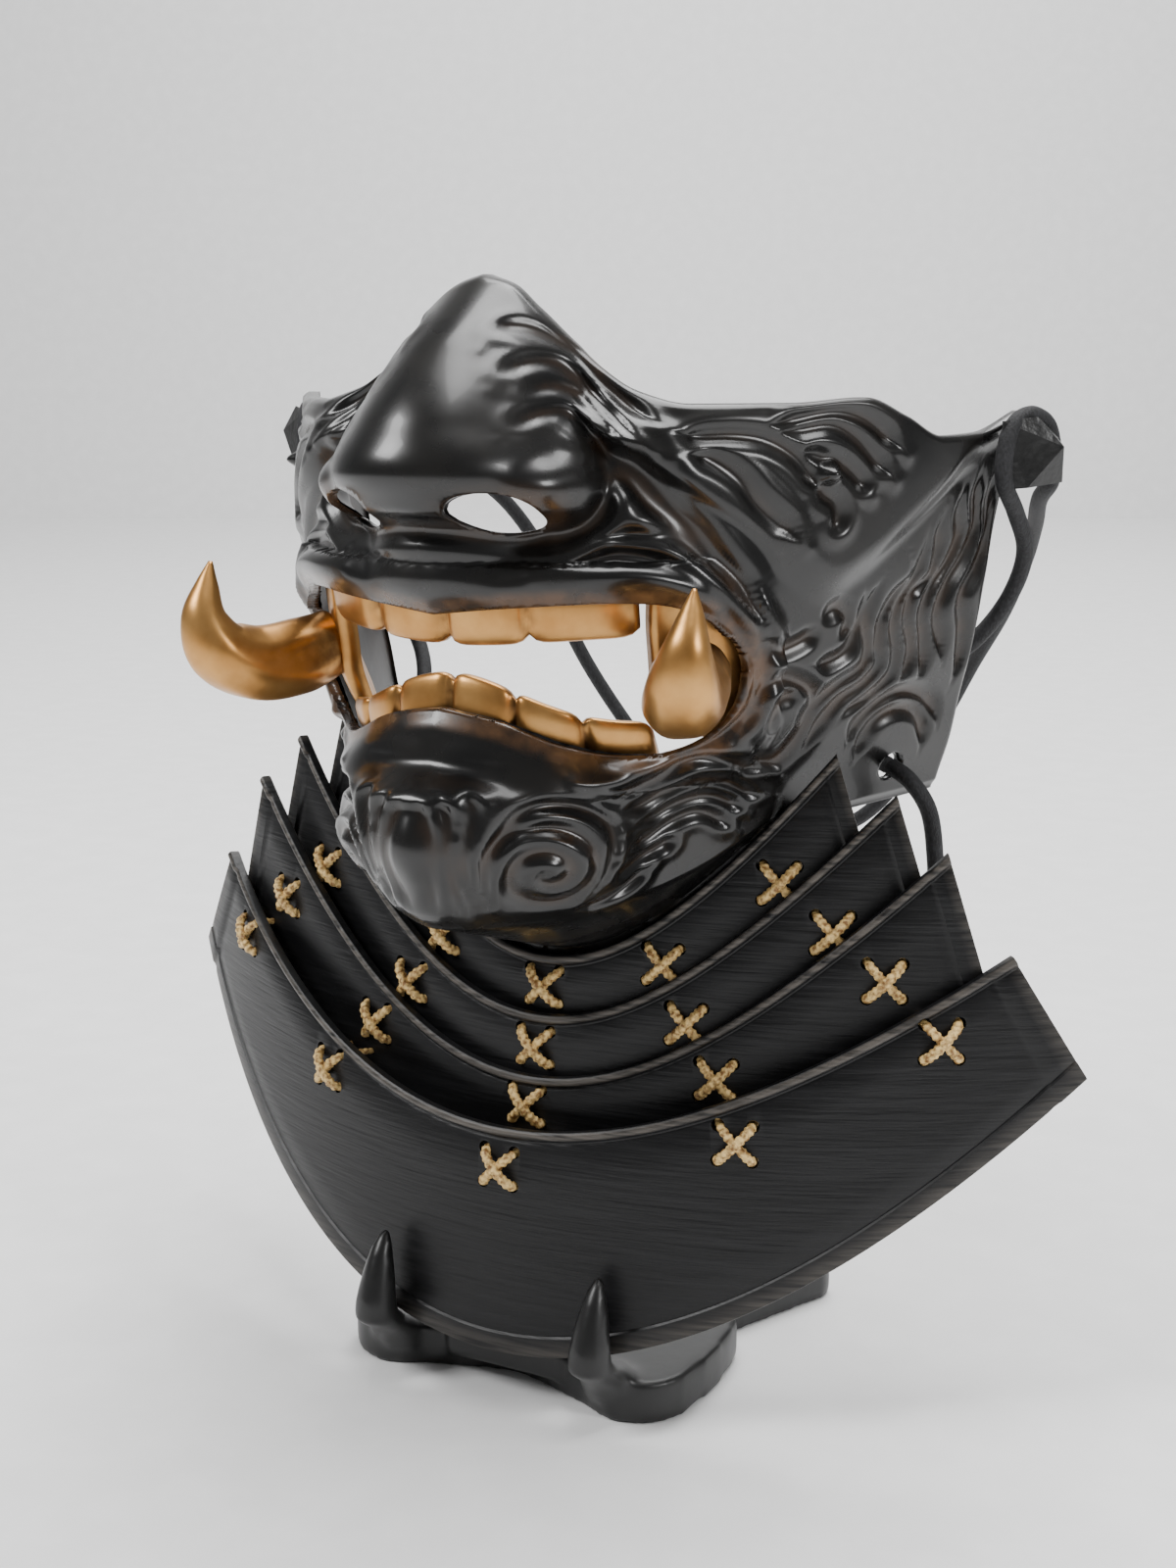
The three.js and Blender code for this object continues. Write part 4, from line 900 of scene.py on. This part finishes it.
def lacing(k, number, at_frame):
    at, out, side, up = at_frame
    flip = -1 if at[0] > 0 else 1

    def spot(s, u, depth):
        return at + side * s * flip * CROSS["side"] + up * u * CROSS["up"] + out * depth

    def tie(s, u):
        return spot(s, u, -tie_depth(k, spot(s, u, 0), out))

    low, high, radius, thin = CROSS["low"], CROSS["high"], CROSS["radius"], CROSS["tie"]
    route = (
        (spot(-1, -1, -2.7), radius), (spot(-1, -1, low), radius), (spot(1, 1, low), radius),
        (tie(1, 1), thin), (tie(1, 0.15), thin), (tie(-1, 0.15), thin), (tie(-1, 1), thin),
        (spot(-1, 1, low), radius),
        (spot(0, 0, high), radius), (spot(1, -1, low), radius), (spot(1, -1, -2.7), radius),
    )
    points = np.array([(*p, r) for p, r in route])
    for _ in range(3):
        cut = np.empty((2 * len(points) - 2, 4))
        cut[0::2] = lerp(points[:-1], points[1:], 0.22)
        cut[1::2] = lerp(points[:-1], points[1:], 0.78)
        points = np.vstack([points[:1], cut, points[-1:]])
    reach = np.concatenate([[0], np.cumsum(np.linalg.norm(np.diff(points[:, :3], axis=0), axis=1))])
    steps = np.arange(0, reach[-1], 0.33)
    fine = np.stack([np.interp(steps, reach, points[:, c]) for c in range(4)], -1)
    path, width = fine[:, :3], fine[:, 3]
    first, second = ring_frames(path, unit(side + 0.37 * up))
    sides = 14
    angle = np.linspace(0, 2 * math.pi, sides, endpoint=False)
    run = steps[:, None] * 2 * math.pi / 3.0
    weave = 1 + 0.13 * np.sin(2 * angle + run) * np.sin(2 * angle - run) + 0.08 * np.cos(2 * run)
    size = width[:, None] * weave
    rings = (path[:, None] + first[:, None] * (size * np.cos(angle))[..., None]
             + second[:, None] * (size * np.sin(angle))[..., None])
    made = mesh_object(f"braid_{k + 1}_{number}", rings.reshape(-1, 3), loft_faces(len(path), sides))
    made.data.materials.append(BRAID)
    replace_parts(made, f"cross_{k + 1}_{number}")


for k, lame in enumerate(LAMES):
    lame_piece(k)
    for number, at_frame in enumerate(cross_frames(lame), 1):
        lacing(k, number, at_frame)

# ---------------------------------------------------------------- studs and stand

for side in ("left", "right"):
    stud = NODES[f"ear_stud_{side}"]
    stud.data.materials.clear()
    stud.data.materials.append(STUD_BLACK)
    ease = stud.modifiers.new("worn_edges", "BEVEL")
    ease.width = 0.0007
    ease.segments = 2

stand = bpy.data.objects.new("stand_smooth", NODES["stand"].data.copy())
bpy.context.scene.collection.objects.link(stand)
remesh = stand.modifiers.new("even", "REMESH")
remesh.mode = "VOXEL"
remesh.voxel_size = 0.0011
ease = stand.modifiers.new("ease", "SMOOTH")
ease.factor = 0.6
ease.iterations = 9
applied(stand)
stand.data.materials.clear()
stand.data.materials.append(STAND_BLACK)
stand.data.polygons.foreach_set("use_smooth", [True] * len(stand.data.polygons))
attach(stand, "root")
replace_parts(stand, "stand")

# ---------------------------------------------------------------- stage and lights

floor_mesh = bpy.data.meshes.new("floor")
floor_mesh.from_pydata([(-4, -3, 0), (4, -3, 0), (4, 5, 0), (-4, 5, 0)], [], [(0, 1, 2, 3)])
floor = bpy.data.objects.new("floor", floor_mesh)
bpy.context.scene.collection.objects.link(floor)
pale = material("pale_floor", (0.86, 0.86, 0.86), 0.7, (0.9, 0.9, 0.9), rough_range=0.05)
floor_mesh.materials.append(pale)

wall_mesh = bpy.data.meshes.new("backdrop")
wall_mesh.from_pydata([(-6, 0, -1), (6, 0, -1), (6, 0, 5), (-6, 0, 5)], [], [(0, 1, 2, 3)])
backdrop = bpy.data.objects.new("backdrop", wall_mesh)
backdrop.location = Vector((-math.sin(TURN), math.cos(TURN), 0)) * 2.6
backdrop.rotation_euler = (0, 0, TURN)
bpy.context.scene.collection.objects.link(backdrop)
wall_mesh.materials.append(pale)

world = bpy.data.worlds.new("studio")
world.use_nodes = True
world.node_tree.nodes["Background"].inputs["Color"].default_value = (1, 1, 1, 1)
world.node_tree.nodes["Background"].inputs["Strength"].default_value = 0.22
bpy.context.scene.world = world
SUBJECT = (0, 0, 0.15)
LIGHTS = (  # name, place, aim, size, watts
    ("key", (-0.8, -0.8, 1.2), SUBJECT, 0.5, 16),
    ("top", (0.1, 0.2, 1.5), SUBJECT, 0.9, 26),
    ("side", (1.3, -0.2, 0.8), SUBJECT, 0.4, 9),
    ("wall", (-0.3, 1.2, 1.9), (-1.1, 2.2, 0.3), 1.2, 45),
)
for name, place, aim, size, watts in LIGHTS:
    data = bpy.data.lights.new(name, "AREA")
    data.size = size
    data.energy = watts
    lamp = bpy.data.objects.new(name, data)
    lamp.location = place
    lamp.rotation_euler = (Vector(aim) - Vector(place)).to_track_quat("-Z", "Y").to_euler()
    bpy.context.scene.collection.objects.link(lamp)


def plain(box):
    return [[float(v) for v in corner] for corner in box]
